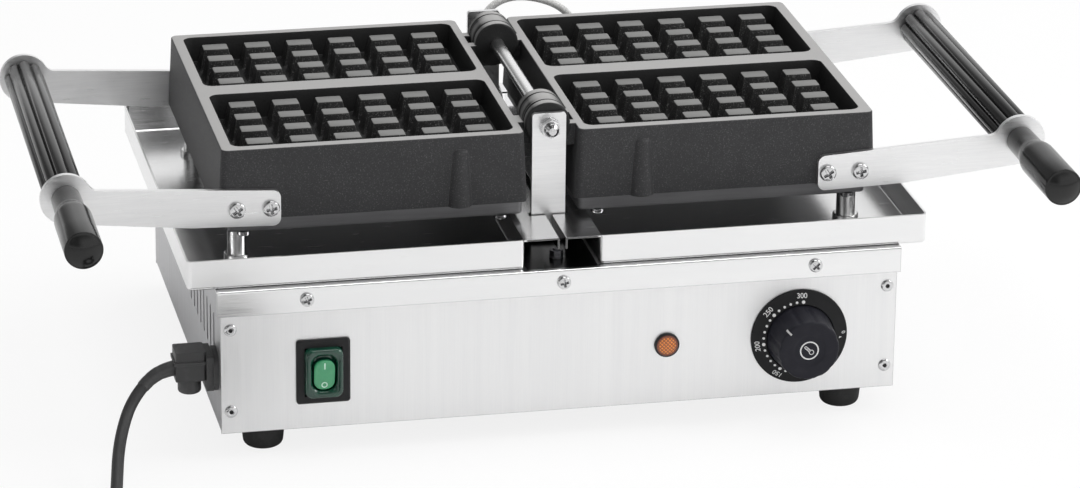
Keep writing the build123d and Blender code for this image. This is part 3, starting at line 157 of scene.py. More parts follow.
def rings(radius):
    """Circles in a plane: each row holds one circle's radius at every angle."""
    angles = circle(radius.shape[1])
    return np.stack([radius * np.cos(angles), radius * np.sin(angles)], axis=-1)


def turned(radius, heights):
    """A grid round an axis: each ring of the given radii at its own height."""
    heights = np.repeat(np.asarray(heights, float)[:, None], radius.shape[1], 1)
    return np.concatenate([rings(radius), heights[..., None]], axis=-1)


def spun(profile, count=48):
    """A surface of revolution: each (height, radius) of the profile becomes a ring."""
    profile = np.asarray(profile, float)
    return turned(np.repeat(profile[:, 1:], count, 1), profile[:, 0])


def rounded_outline(width, height, corner, per_corner=7):
    """A rectangle's outline with each corner a quarter circle, as points in a plane."""
    turn = np.linspace(0, math.pi / 2, per_corner)
    quarter = np.arange(4)[:, None] * math.pi / 2 + turn[None, :]
    side = np.array([[1, 1], [-1, 1], [-1, -1], [1, -1]])
    centres = side * [width / 2 - corner, height / 2 - corner]
    ring = np.stack([np.cos(quarter), np.sin(quarter)], axis=-1) * corner
    return (centres[:, None, :] + ring).reshape(-1, 2)


def stacked(outlines, heights):
    """Outlines with the same number of points, one above another."""
    return np.stack(
        [np.column_stack([line, np.full(len(line), z)]) for line, z in zip(outlines, heights)]
    )


def rounded_stack(rows):
    """Rounded rectangles one above another, each row a width, a height, a corner and a level."""
    return stacked([rounded_outline(*row[:3]) for row in rows], [row[3] for row in rows])


def carried(path, sections, sideways=(0, 0, 1)):
    """A closed section for each point of a path, set there square to the path."""
    along = np.gradient(path, axis=0)
    along /= np.linalg.norm(along, axis=1, keepdims=True)
    aside = np.cross(along, sideways)
    aside /= np.linalg.norm(aside, axis=1, keepdims=True)
    upward = np.cross(aside, along)
    return (
        path[:, None, :]
        + sections[..., 0:1] * aside[:, None, :]
        + sections[..., 1:2] * upward[:, None, :]
    )


def step(value):
    """Smooth rise from 0 to 1 while the value goes from 0 to 1."""
    value = np.clip(value, 0, 1)
    return value * value * (3 - 2 * value)


# Finishes

def grey(value, blue=0.0):
    """A grey whose blue part may differ a little."""
    return value, value, value + blue


class Value:
    """What a shader node gives at each point, for use in plain sums."""

    def __init__(self, graph, socket):
        self.graph, self.socket = graph, socket

    def __add__(self, other):
        return self.graph.sum("ADD", self, other)

    def __sub__(self, other):
        return self.graph.sum("SUBTRACT", self, other)

    def __rsub__(self, other):
        return self.graph.sum("SUBTRACT", other, self)

    def __mul__(self, other):
        return self.graph.sum("MULTIPLY", self, other)

    def __pow__(self, other):
        return self.graph.sum("POWER", self, other)

    def __abs__(self):
        return self.graph.sum("ABSOLUTE", self)

    def within(self, low, high, to_low=0.0, to_high=1.0):
        """The range from low to high spread over another one, and cut off there."""
        return self.graph.node("MapRange", inputs=enumerate((self, low, high, to_low, to_high)))

    def spread(self, low, high):
        """A noise's usual range spread from low to high."""
        return self.within(0.3, 0.7, low, high)

    def past(self, edge, fade):
        """From 0 to 1 while a place goes on from an edge by the fade, both in millimetres."""
        return self.within(edge * mm, (edge + fade) * mm)


class Graph:
    """The shader nodes of a material or of the world."""

    def __init__(self, tree):
        self.nodes, self.links = tree.nodes, tree.links

    def feed(self, socket, value):
        """A link where the value comes from a node, and a plain value otherwise."""
        if isinstance(value, Value):
            self.links.new(value.socket, socket)
        else:
            socket.default_value = value

    def node(self, kind, output=0, inputs=(), **settings):
        """Adds a node with its settings and inputs, and returns what it gives."""
        made = self.nodes.new("ShaderNode" + kind)
        for key, value in settings.items():
            setattr(made, key, value)
        for key, value in dict(inputs).items():
            self.feed(made.inputs[key], value)
        return Value(self, made.outputs[output])

    def sum(self, kind, *values):
        """One step of arithmetic."""
        return self.node("Math", inputs=enumerate(values), operation=kind)


class Finish(Graph):
    """A material in the making: a principled shader and the nodes that feed it."""

    def __init__(self, **values):
        self.material = bpy.data.materials.new("finish")
        self.material.use_nodes = True
        super().__init__(self.material.node_tree)
        self.shader = self.nodes["Principled BSDF"]
        self.places = self.nodes.new("ShaderNodeTexCoord").outputs
        for key, value in values.items():
            self.shader.inputs[key.replace("_", " ")].default_value = value

    def stretched(self, stretch):
        """Object coordinates in metres, multiplied along each axis."""
        places = Value(self, self.places["Object"])
        return self.node("Mapping", inputs={"Vector": places, "Scale": stretch})

    def noise(self, scale, detail=3.0, roughness=0.55, stretch=(1, 1, 1)):
        """Noise whose cells are 1/scale metres wide."""
        inputs = {"Vector": self.stretched(stretch), "Scale": scale}
        return self.node("TexNoise", "Fac", {**inputs, "Detail": detail, "Roughness": roughness})

    def cells(self, scale, stretch=(1, 1, 1)):
        """Distances from the middles of random cells that are 1/scale metres wide."""
        return self.node("TexVoronoi", "Distance", {"Vector": self.stretched(stretch), "Scale": scale})

    def axis(self, which, output="Object"):
        """One coordinate, or one part of the surface's own direction."""
        return self.node("SeparateXYZ", which, {0: Value(self, self.places[output])})

    def distance(self, first, second):
        """The length of the hypotenuse over two coordinates."""
        return self.sum("SQRT", first ** 2.0 + second ** 2.0)

    def blend(self, share, first, second):
        """From the first colour to the second one by the share."""
        first, second = (tone if isinstance(tone, Value) else (*tone, 1) for tone in (first, second))
        return self.node("Mix", 2, {0: share, 6: first, 7: second}, data_type="RGBA")

    def softened(self, radius):
        """The surface's direction, with edges rounded by the radius in metres."""
        return self.node("Bevel", inputs={"Radius": radius}, samples=6)

    def edges(self, radius, contrast=4.0):
        """Where the surface turns sharply within the radius: 0 on flats and 1 on edges."""
        both = {0: self.softened(radius), 1: self.node("NewGeometry", "Normal")}
        alike = self.node("VectorMath", "Value", both, operation="DOT_PRODUCT")
        return (1.0 - alike).within(0.0, 1.0 / contrast)

    def color(self, value):
        self.feed(self.shader.inputs["Base Color"], value)

    def rough(self, value):
        self.feed(self.shader.inputs["Roughness"], value)

    def relief(self, height, depth, strength, radius=0.0):
        """Height steps of the given depth in metres, over edges softened by the radius."""
        inputs = {"Strength": strength, "Distance": depth, "Height": height}
        if radius:
            inputs["Normal"] = self.softened(radius)
        self.feed(self.shader.inputs["Normal"], self.node("Bump", inputs=inputs))


def well_shade(made):
    """1 on the upright faces and the bottom of the well between the trays, where painted shade goes, and 0
    elsewhere.
    """
    aside = abs(made.axis("X")).past(well_half, -1.0)
    behind = made.axis("Y").past(panel_face + 2.0, 1.0)
    above = made.axis("Z").past(well_bottom, 1.0)
    upright = abs(made.axis("Z", "Normal")).within(0.7, 0.5)
    low_down = made.axis("Z").past(tray_bottom, -1.0)
    return aside * behind * (above * made.sum("MAXIMUM", upright, low_down))


def brushed(light, dark, grain, streak, rough, edge_shading=1.06, shaded_well=False):
    """Sheet steel with a grain: fine streaks many times longer than wide, and faint clouds.

    Bends get painted light: the sheet's colour times the edge shading, a painted highlight above 1 and painted
    shade below 1. The well between the trays gets painted shade."""
    made = Finish(Metallic=1.0)
    fine = made.noise(1.0, 4.0, 0.6, grain)
    broad = made.noise(1.0, 2.0, 0.5, streak)
    clouds = made.noise(14.0, 2.0, 0.5)
    mixed = fine * 0.55 + (broad * 0.3 + clouds * 0.15)
    sheet = made.blend(mixed.within(0.36, 0.64), dark, light)
    if shaded_well:
        # Painted shade: the well between the trays is blended towards near black.
        sheet = made.blend(well_shade(made) * 0.93, sheet, grey(0.02))
    # Painted light on bends: the edge shading makes a painted highlight above 1 and painted shade below 1.
    painted_bend = tuple(min(value * edge_shading, 0.93) for value in light)
    made.color(made.blend(made.edges(0.0007, 6.0), sheet, painted_bend))
    made.rough(fine.spread(rough * 0.8, rough * 1.25))
    made.relief(fine, 0.00002, 0.2, 0.00012)
    return made.material


def turned_metal(light, dark, rough, axis_scale):
    """Bright bar or plated screw: faint turning rings and a few small marks."""
    made = Finish(Metallic=1.0)
    rings = made.noise(1.0, 3.0, 0.6, axis_scale)
    marks = made.noise(900.0, 4.0, 0.7)
    made.color(made.blend((rings * marks).within(0.1, 0.42), dark, light))
    made.rough(marks.spread(rough * 0.9, rough * 1.15))
    made.relief(rings, 0.000004, 0.05, 0.00025)
    return made.material


def moulded(shade, wear_and_highlight, rough, grain=2600.0, depth=0.00003, edge=0.0004, dusty=0.35, shine=0.5):
    """Moulded plastic, rubber or print: a fine grain, a little dust, and a painted highlight that makes the edges
    a shade lighter.
    """
    made = Finish(Specular_IOR_Level=shine)
    fine = made.noise(grain, 3.0, 0.6)
    dust = made.noise(120.0, 4.0, 0.6)
    # The paler colour serves real dust and a painted highlight on the edges.
    share = made.edges(edge) * 0.6 + dust.within(0.5, 0.8, 0.0, dusty)
    made.color(made.blend(share, shade, wear_and_highlight))
    made.rough(fine.spread(rough * 0.88, rough * 1.12))
    made.relief(fine, depth, 0.5, edge)
    return made.material


def cavity_shade(made):
    """1 inside a plate's two cavities, where painted shade goes: nearer to a cavity's middle than half its size,
    both ways.
    """
    from_x = abs(abs(made.axis("X")) - cavity_x * mm)
    from_y = abs(abs(made.axis("Y") - mid_y * mm) - cavity_y * mm)
    return from_x.past(cavity_half_x, -0.6) * from_y.past(cavity_half_y, -0.6)


def knuckle_shade_and_crests(made):
    """1 near the hinge's axle, where painted shade goes, and the height of the rounded rings there, which carries
    their bumps and painted highlights.

    A ring's height is 1 minus the square of the distance from its middle over half its width."""
    near = made.distance(made.axis("X"), made.axis("Z") - axle_z * mm).past(knuckle_reach, -0.6)
    round_side = abs(made.axis("Y", "Normal")).within(0.75, 0.35)
    turns = made.sum("FRACT", (made.axis("Y") + knuckle_start * mm) * (1 / (knuckle_pitch * mm)))
    from_middle = abs(turns - 0.5) * 2.0
    return near, near * round_side * (1.0 - from_middle ** 2.0)


def cast_iron(skin, bare_and_highlight, ground, sheen_from, hollow=None):
    """Sand-cast iron: pitted skin with bright specks, edges with wear and a painted highlight, paler top faces
    whose ground colour carries a painted sheen.

    A plate has painted shade in its cavities and round its hinge knuckles, and painted highlights on the crests of
    the knuckle rings."""
    made = Finish(Metallic=0.25)
    sand = made.noise(1500.0, 5.0, 0.7)
    pits = made.cells(800.0)
    blotch = made.noise(60.0, 4.0, 0.6)
    specks = made.noise(1250.0, 3.0, 0.65).within(0.56, 0.70)
    flat = made.axis("Z", "Normal").within(0.75, 0.97)
    top = flat * made.axis("Z").past(sheen_from - 1.2, 1.2)
    base = made.blend(specks * 0.5, skin, bare_and_highlight)
    base = made.blend(blotch.spread(0.0, 0.4), base, tuple(value * 0.6 for value in skin))
    bumps = pits * 0.5 + sand
    if hollow:
        near, ring = knuckle_shade_and_crests(made)
        bumps = ring * 9.0 + bumps
        # Painted shade in the hollow colour: in the cavities and round the hinge knuckles.
        base = made.blend(cavity_shade(made) * 0.9, base, hollow)
        base = made.blend(near * 0.8, base, hollow)
        # Painted highlight on the crests of the knuckle rings.
        crest_highlight = ring.within(0.55, 0.95) * sand.spread(0.5, 1.0)
        base = made.blend(crest_highlight, base, grey(0.11, -0.002))
    # Edges blend to the bare colour: wear, and a painted highlight.
    wear_and_highlight = made.edges(0.0006, 3.0) * blotch.within(0.35, 0.62, 0.3, 0.8)
    base = made.blend(wear_and_highlight, base, bare_and_highlight)
    # Painted sheen: the top faces take the ground colour, a ground finish made paler to stand for reflected light.
    made.color(made.blend(top * sand.within(0.25, 0.7, 0.8, 1.0), base, ground))
    made.rough(top * -0.1 + sand.spread(0.50, 0.64))
    made.relief(bumps * (top * -0.75 + 1.0), 0.00018, 0.5, 0.0006)
    return made.material


def tinted(shade, deep, glow):
    """Clear tinted plastic: deeper colour in the thick places, a wet gloss, and a painted glow where one is given.
    """
    made = Finish(
        Coat_Weight=0.6, Coat_Roughness=0.05, IOR=1.49, Transmission_Weight=0.25,
        Emission_Color=(*shade, 1), Emission_Strength=glow,
    )
    cloud = made.noise(160.0, 3.0, 0.5)
    made.color(made.blend(cloud.within(0.35, 0.65), deep, shade))
    made.rough(made.noise(1800.0).spread(0.084, 0.18))
    made.relief(made.noise(700.0), 0.00003, 0.4, 0.0004)
    return made.material


def prism_lens(shade, deep, glow):
    """Tinted lens with a lattice of small prisms: two sets of grooves cross at right angles.

    The colour deepens towards the rim, by the distance from the lens's middle."""
    made = Finish(
        Coat_Weight=0.6, Coat_Roughness=0.05, IOR=1.49,
        Emission_Color=(*shade, 1), Emission_Strength=glow,
    )
    across, up = made.axis("X"), made.axis("Z")
    per_metre = math.pi / (lens_pitch * mm * math.sqrt(2))
    waves = [abs(made.sum("SINE", slanted * per_metre)) for slanted in (across + up, across - up)]
    from_middle = made.distance(across - lens_x * mm, up - lens_z * mm)
    rim = from_middle.within(5.5 * mm, 4.7 * mm, 0.05, 1.0)
    groove = made.sum("MINIMUM", *waves).within(0.1, 0.75) * rim
    cloud = made.noise(240.0, 3.0, 0.5).spread(0.75, 1.0)
    made.color(made.blend(groove * cloud, deep, shade))
    made.rough(made.noise(1800.0).spread(0.08, 0.2))
    made.relief(made.noise(700.0), 0.00003, 0.4)
    return made.material


def braided(light, dark, pitch):
    """Glass braid: strands cross in two slanted sets, with painted shade where they dive under."""
    made = Finish(Sheen_Weight=0.2)
    weave = made.cells(1000.0 / pitch, (1, 1, 0.6))
    fibre = made.noise(4200.0, 3.0, 0.6, (1, 1, 0.25))
    # Painted shade at the weave's cell borders, where strands dive under; the fibre noise is the strands' own
    # grain.
    made.color(made.blend((fibre * 0.5 + weave).within(0.3, 0.95), light, dark))
    made.rough(fibre.spread(0.6, 0.8))
    made.relief(fibre * -0.3 + weave, 0.0001, 0.6)
    return made.material


well_half, well_bottom, tray_bottom = 21.5, 98.0, 109.0
cavity_half_x, cavity_half_y = 83.0, 46.6
knuckle_reach, knuckle_pitch = 14.2, 26.0 / 3
knuckle_start = 66.475 + 12 * knuckle_pitch
lens_low, lens_high = corners("lamp_lens")
lens_x, _, lens_z = middle(lens_low, lens_high)
lens_pitch, lens_lip = 1.6, 1.1
finishes = {
    # A brushed steel's number after its roughness is its edge shading: 0.4 paints shade on the bends, and the
    # default 1.06 paints a highlight.
    "steel_panel": brushed(grey(0.87), grey(0.82, 0.005), (1500, 1500, 26), (260, 260, 4), 0.42, 0.4),
    "steel_side": brushed(grey(0.60, 0.01), grey(0.50, 0.01), (1400, 1400, 30), (200, 200, 6), 0.45),
    # The bright steel has painted shade in the well between the trays.
    "steel_bright": brushed(
        grey(0.87), grey(0.82, 0.005), (40, 1300, 1300), (7, 220, 220), 0.22, 0.4, shaded_well=True,
    ),
    "arm_steel": brushed(grey(0.88), grey(0.80, 0.005), (60, 1300, 1300), (12, 240, 240), 0.34),
    # The heater covers' steel is made dark: painted shade under the plates.
    "heater_painted_shade": brushed(grey(0.22, 0.005), grey(0.16, 0.005), (60, 1200, 1200), (10, 200, 200), 0.5),
    "steel_axle": turned_metal(grey(0.90), grey(0.80), 0.24, (300, 900, 900)),
    "zinc_screw": turned_metal(grey(0.72), grey(0.58, 0.01), 0.16, (1500, 1500, 1500)),
    "dark_screw": turned_metal(grey(0.20, 0.01), grey(0.10, 0.01), 0.38, (1500, 1500, 1500)),
    # The dark core finish is painted shade, for the rivet pins deep in their holes.
    "core_dark": turned_metal(grey(0.10), grey(0.03), 0.5, (1200, 1200, 1200)),
    "element_steel": turned_metal((0.30, 0.26, 0.22), (0.16, 0.14, 0.13), 0.5, (200, 200, 200)),
    "pin_nickel": turned_metal((0.78, 0.76, 0.72), (0.55, 0.54, 0.5), 0.2, (900, 900, 900)),
    # The plate's hollow colour is painted shade, and its ground colour carries a painted sheen on the top faces.
    "iron_casting": cast_iron(
        grey(0.036, 0.002), grey(0.21), (0.40, 0.395, 0.39), face_z - 1.0, hollow=grey(0.008),
    ),
    # The studs' ground colour is a painted sheen on their tops, and their bare colour also paints highlights on
    # their edges.
    "iron_stud": cast_iron(grey(0.012), grey(0.42, -0.01), grey(0.20, -0.005), face_z - 3.2),
    "grip_black": moulded(grey(0.010), grey(0.06), 0.16, 900.0, 0.00001, edge=0.0003, dusty=0.05, shine=0.4),
    "knob_black": moulded(
        grey(0.012, 0.006), grey(0.17, 0.01), 0.5, 2400.0, 0.00002, edge=0.0003, dusty=0.04, shine=0.22,
    ),
    "rubber_black": moulded(grey(0.014), grey(0.05), 0.7, 1800.0, 0.00006),
    "gland_black": moulded(grey(0.05, 0.001), grey(0.13), 0.4, 2000.0, 0.00004),
    "cord_black": moulded(grey(0.032, 0.001), grey(0.055, 0.001), 0.55, 1500.0, 0.00005, edge=0.0002),
    "switch_black": moulded(grey(0.011, 0.001), grey(0.05), 0.44, 2200.0, 0.00004, dusty=0.1, shine=0.3),
    "dial_black": moulded(grey(0.011, 0.001), grey(0.05), 0.46, 2600.0, 0.00002, dusty=0.05, shine=0.2),
    "board_white": moulded((0.72, 0.71, 0.67), (0.85, 0.84, 0.80), 0.85, 700.0, 0.0001),
    "block_white": moulded(grey(0.74, -0.02), grey(0.85, -0.01), 0.5, 1500.0, 0.00004),
    "mark_white": moulded(grey(0.80), grey(0.9), 0.5, 1500.0, 0.00001),
    "mark_pale": moulded((0.62, 0.92, 0.74), (0.8, 1.0, 0.9), 0.4, 1500.0, 0.00001),
    "mark_dim": moulded(grey(0.50), grey(0.62), 0.5, 1500.0, 0.00001),
    # The rocker's faint glow is painted light.
    "rocker_green": tinted((0.07, 0.44, 0.19), (0.05, 0.38, 0.17), 0.05),
    "hood_green": tinted((0.010, 0.085, 0.05), (0.006, 0.045, 0.03), 0.0),
    "lamp_amber": prism_lens((0.90, 0.27, 0.03), (0.10, 0.012, 0.004), 0.05),
    "sleeve_pale": braided(grey(0.78, -0.01), grey(0.52, -0.01), 0.9),
}
for name, material in finishes.items():
    material.name = name + "_finish"

for part in frame["record"]["subparts"]:
    node = nodes[part["node"]]
    if not node.material_slots:
        node.data.materials.append(None)
    for place in node.material_slots:
        place.material = finishes[part["material_slot"]]
# Painted shade: the heater covers sit under the plates and take a dark steel.
for name in ("left_heater_cover", "right_heater_cover"):
    nodes[name].material_slots[0].material = finishes["heater_painted_shade"]


# Camera: the photograph's own place and angle

def aim(yaw, pitch, roll, place, lens):
    """A camera that looks along yaw and pitch, rolled about that line, in degrees."""
    yaw, pitch, roll = (math.radians(value) for value in (yaw, pitch, roll))
    forward = Vector((math.sin(yaw) * math.cos(pitch), math.cos(yaw) * math.cos(pitch), -math.sin(pitch)))
    level = Vector((math.cos(yaw), -math.sin(yaw), 0))
    down = forward.cross(level)
    right = math.cos(roll) * level + math.sin(roll) * down
    under = forward.cross(right)
    view = bpy.data.cameras.new("view")
    view.sensor_fit = "HORIZONTAL"
    view.sensor_width = 36.0
    view.lens = lens
    view.clip_start, view.clip_end = 0.05, 60.0
    camera = added("view", view)
    facing = Matrix((right, -under, -forward)).transposed().to_4x4()
    camera.matrix_world = Matrix.Translation(place) @ facing
    bpy.context.scene.camera = camera


aim(yaw=12.209, pitch=20.784, roll=-0.637, place=(-0.5628, -2.6492, 1.1047), lens=161.0)


# Mains lead: leaves the gland, falls to the table, runs forward to its coil

lead_exit = (-224.5, -95.475, 51.9)
lead_route = [
    (-217.02, -95.475, 52.8), (-229.4, -95.475, 51.4), (-240.4, -98.6, 46.4),
    (-251.2, -105.8, 35.6), (-257.7, -118.2, 25.6), (-262.8, -137.8, 18.9),
    (-266.2, -158.4, 12.1), (-270.2, -182.1, 5.3), (-273.5, -207.3, 3.5), (-273.5, -233.0, 3.5),
]
cord_radius = 3.5
coil_middle = (-225.0, -240.0)
coil_outer, coil_pitch, coil_layer = 48.5, 7.7, 7.6
coil_inward, coil_outward = 2.5, 2.75
coil_steps = 16
spline_shrink = 1 / math.cos(math.pi / coil_steps) ** 1.6


def coil_point(turn):
    """Radius falls by one pitch a turn, climbs one layer, and grows back out again."""
    inward = min(turn, coil_inward) - max(turn - coil_inward, 0)
    radius = (coil_outer - coil_pitch * inward) * spline_shrink
    climb = min(max((turn - coil_inward + 1 / 4) * 2, 0), 1)
    angle = math.pi * (1 + 2 * turn)
    return (
        coil_middle[0] + radius * math.cos(angle),
        coil_middle[1] + radius * math.sin(angle),
        cord_radius + coil_layer * (1 - math.cos(math.pi * climb)) / 2,
    )


def drawn_mesh(line):
    """The mesh of a curve or of letters, whose own object is then removed."""
    drawn = added(line.name, line)
    bpy.context.view_layer.update()
    mesh = bpy.data.meshes.new_from_object(drawn.evaluated_get(bpy.context.evaluated_depsgraph_get()))
    bpy.data.objects.remove(drawn)
    return mesh


def smooth_line(name, points, steps=8):
    """A NURBS curve of order 3 through its first and last point, near the others."""
    line = bpy.data.curves.new(name, "CURVE")
    line.dimensions = "3D"
    spline = line.splines.new("NURBS")
    spline.points.add(len(points) - 1)
    weighted = np.column_stack([np.array(points) * mm, np.ones(len(points))])
    spline.points.foreach_set("co", weighted.ravel())
    spline.order_u = 3
    spline.use_endpoint_u = True
    line.resolution_u = steps
    return line


def lengths(places):
    """The length of a line up to each of its places."""
    return np.concatenate([[0], np.cumsum(np.linalg.norm(np.diff(places, axis=0), axis=1))])


def places_at(wanted, run, places):
    """Places at the wanted lengths of a line."""
    return np.column_stack([np.interp(wanted, run, places[:, axis]) for axis in range(3)])


def line_places(points, spacing):
    """Places along the smooth curve of the given points, evenly spaced, in millimetres."""
    mesh = drawn_mesh(smooth_line("route", points, 24))
    flat = np.empty(3 * len(mesh.vertices))
    mesh.vertices.foreach_get("co", flat)
    bpy.data.meshes.remove(mesh)
    places = flat.reshape(-1, 3) / mm
    run = lengths(places)
    return places_at(np.linspace(0, run[-1], int(run[-1] / spacing) + 2), run, places)


def mains_lead():
    """The whole lead as one smooth curve: its route's points, then the coil turn by turn."""
    turns = coil_inward + coil_outward
    count = int(turns * coil_steps)
    points = lead_route + [coil_point(i / coil_steps) for i in range(1, count + 1)]
    end_y = coil_middle[1] - (coil_outer + coil_pitch * (coil_outward - coil_inward))
    points[-1] = (coil_middle[0], end_y, cord_radius + coil_layer)
    points.append((coil_middle[0] + 2.5 * cord_radius, end_y, cord_radius + coil_layer))
    line = smooth_line("mains_lead", points)
    line.bevel_depth = cord_radius * mm
    line.bevel_resolution = 6
    line.use_fill_caps = True
    line.materials.append(finishes["cord_black"])
    lead = added("mains_lead", line)
    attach(lead, "root")
    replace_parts(lead, "mains_cord", "cord_coil")


mains_lead()


relief_length = 23.0
relief_root, relief_taper = 4.5, 0.75
relief_grooves, relief_groove = 3, 0.1


def lead_relief():
    """Tapered sleeve on the lead at the gland: a circle that shrinks along the line, with grooves."""
    places = line_places(lead_route, 0.5)
    run = lengths(places)
    begin = np.interp(-lead_exit[0], -places[:, 0], run) - 1.0
    share = np.linspace(0, 1, 70)
    wave = np.sin(share * 2 * math.pi * relief_grooves)
    grooves = step((wave - 0.5) / 0.4) * (share > 0.15)
    radius = relief_root - relief_taper * share - relief_groove * grooves
    radius[-1] = cord_radius + 0.02
    path = places_at(begin + share * relief_length, run, places)
    grid = carried(path, rings(np.repeat(radius[:, None], 28, 1)))
    Surfaces().add(grid).piece("lead_relief", "root", "gland_black")


lead_relief()


# Batter studs

stud_width, stud_depth, stud_corner = 15.0, 10.0, 0.9
stud_draft = math.radians(12)
stud_columns, stud_rows = 6, 4
stud_pitch_x, stud_pitch_y = 25.8, 21.5
stud_top = face_z - 2.0


def cast_studs(side, name):
    """Each stud is a stack of rounded rectangles: a flared root, drafted sides, a rounded top."""
    middle_y = middle(*corners(name + "_casting"))[1]
    drops = np.array([13.0, 12.3, 10.5, 1.5, 0.4, 0.12, 0.0])
    flare = np.array([1.4, 0.35, 0.0, 0.0, 0.0, -0.12, -0.55])
    spread = 2 * drops * math.tan(stud_draft) + flare
    outlines = [rounded_outline(stud_width + more, stud_depth + more, stud_corner, 3) for more in spread]
    stud = stacked(outlines, stud_top - drops)
    made = Surfaces()
    for end in (-1, 1):
        for column in range(stud_columns):
            for row in range(stud_rows):
                x = side * (cavity_x + (column - (stud_columns - 1) / 2) * stud_pitch_x)
                y = middle_y + end * cavity_y + (row - (stud_rows - 1) / 2) * stud_pitch_y
                made.add(stud + [x, y, 0], start_cap=False)
    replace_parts(made.piece(name + "_batter_studs", name + "_half", "iron_stud"), name + "_studs")


cast_studs(-1, "left")
cast_studs(1, "right")


# Screws with a cross recess

cross_width, cross_reach = 0.17, 0.64


def crossed_screw(made, seat, out, radius, height, shank, length, turn):
    """A pan head: rings over a low dome, pressed down inside the cross by a smooth step."""
    out = np.asarray(out, float)
    across = np.array([1.0, 0, 0]) if abs(out[0]) < 0.5 else np.array([0, 1.0, 0])
    up = np.cross(out, across)
    angles = circle(96)
    share = np.concatenate([np.linspace(0, 0.72, 19), [0.78, 0.86, 0.93, 0.97, 0.99, 1.0]])
    ring = share[:, None] * radius
    u, v = ring * np.cos(angles), ring * np.sin(angles)
    dome = height * (1 - 0.14 * share ** 2 - 0.45 * np.clip((share - 0.8) / 0.2, 0, 1) ** 3)
    turned_u = u * math.cos(turn) + v * math.sin(turn)
    turned_v = v * math.cos(turn) - u * math.sin(turn)
    near = np.minimum(abs(turned_u), abs(turned_v)) / radius
    far = np.maximum(abs(turned_u), abs(turned_v)) / radius
    cut = step((cross_width - near) / 0.05) * step((cross_reach - far) / 0.1) * height * 1.15
    head = np.stack([u, v, dome[:, None] - cut], axis=-1)
    under = [(height * 0.3, radius), (0, radius * 0.97), (0, shank), (-length, shank), (-length, 0)]
    made.add_closed(placed(np.concatenate([head, spun(under, 96)]), seat, across, up, out))


def cross_screws(node, name, body, places, z, size, further):
    """Screws at the front and the rear of a node's box, one for each place across and turn.

    The size is the head's radius and height, then the shank's radius and length."""
    low, high = corners(node)
    made = Surfaces()
    for x, turn in places:
        crossed_screw(made, (x, low[1] + size[1], z), (0, -1, 0), *size, turn)
        crossed_screw(made, (x, high[1] - size[1], z), (0, 1, 0), *size, turn + further)
    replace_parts(made.piece(name, body, "zinc_screw"), node)


lip_z = 96.0
lip_places = ((-150, 0.4), (0, 0.2), (150, 0.75))
cross_screws("cover_screws", "cover_cross_screws", "root", lip_places, lip_z, (4.0, 2.6, 2.0, 6.0), 0.3)
for name in ("left", "right"):
    arm_low, arm_high = corners(name + "_arm_screws")
    arm_head = (arm_high[2] - arm_low[2]) / 2
    cross_screws(
        name + "_arm_screws", name + "_arm_cross_screws", name + "_half",
        ((arm_low[0] + arm_head, 0.55), (arm_high[0] - arm_head, 0.15)),
        middle(arm_low, arm_high)[2], (arm_head, 3.0, 2.5, 7.0), 0.4,
    )


# Dial printing, and the marks on the knob and the rocker

ink = 0.06


def flat_figure(made, outline, origin, across, up, out):
    """A printed figure: a closed outline with the ink's thickness."""
    made.add(placed(stacked([outline, outline], [-0.02, ink]), origin, across, up, out))


def dial_cone(radius):
    """How far the dial's cone stands in front of its flat rim at a radius."""
    return np.interp(radius, [cone_inner, cone_outer], [cone_rise, 0.0])


def dial_skirt():
    """The dial spun round its axis: a flat back, a low rim, and a cone that rises to the knob."""
    sheet = panel_face - ring_low[1]
    outer = (ring_high[0] - ring_low[0]) / 2
    profile = [
        (0.0, 8.0), (0.0, outer - 0.4), (0.3, outer), (sheet - 0.4, outer), (sheet - 0.1, outer - 0.15),
        (sheet, outer - 0.5), (sheet, cone_outer), (sheet + cone_rise * 0.5, (cone_outer + cone_inner) / 2),
        (sheet + cone_rise, cone_inner), (sheet + cone_rise + 0.05, cone_inner - 0.2),
        (sheet + cone_rise - 0.3, cone_inner - 0.35), (sheet - 0.2, cone_inner - 0.4),
        (sheet - 0.3, 8.0), (0.0, 8.0),
    ]
    made = Surfaces().add_closed(placed(spun(profile, 96), (dial_x, panel_face, dial_z), *front_view))
    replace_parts(made.piece("dial_skirt", "root", "dial_black"), "dial_ring")


cone_inner, cone_outer, cone_rise = 20.8, 28.2, 2.5
cone_slope = math.atan2(cone_rise, cone_outer - cone_inner)
dial_skirt()


def on_dial(angle, radius):
    """A place on the dial's cone and its directions: round the dial, outwards, and off the face."""
    outward = np.array([math.sin(angle), 0, math.cos(angle)])
    across = np.array([math.cos(angle), 0, -math.sin(angle)])
    back = np.array([0.0, 1.0, 0.0])
    place = np.array([dial_x, ring_low[1] - dial_cone(radius), dial_z]) + radius * outward
    up = outward * math.cos(cone_slope) + back * math.sin(cone_slope)
    out = outward * math.sin(cone_slope) - back * math.cos(cone_slope)
    return place, across, up, out


def round_dot(radius):
    """A circle's outline."""
    return rings(np.full((1, 16), radius))[0]


def ring_figure(made, radius, width, origin, across, up, out):
    """A printed ring: a low rectangular section carried round a circle."""
    inner, outer = radius - width / 2, radius + width / 2
    shape = [(-0.02, inner), (-0.02, outer), (ink, outer), (ink, inner), (-0.02, inner)]
    made.add_closed(placed(spun(shape), origin, across, up, out))


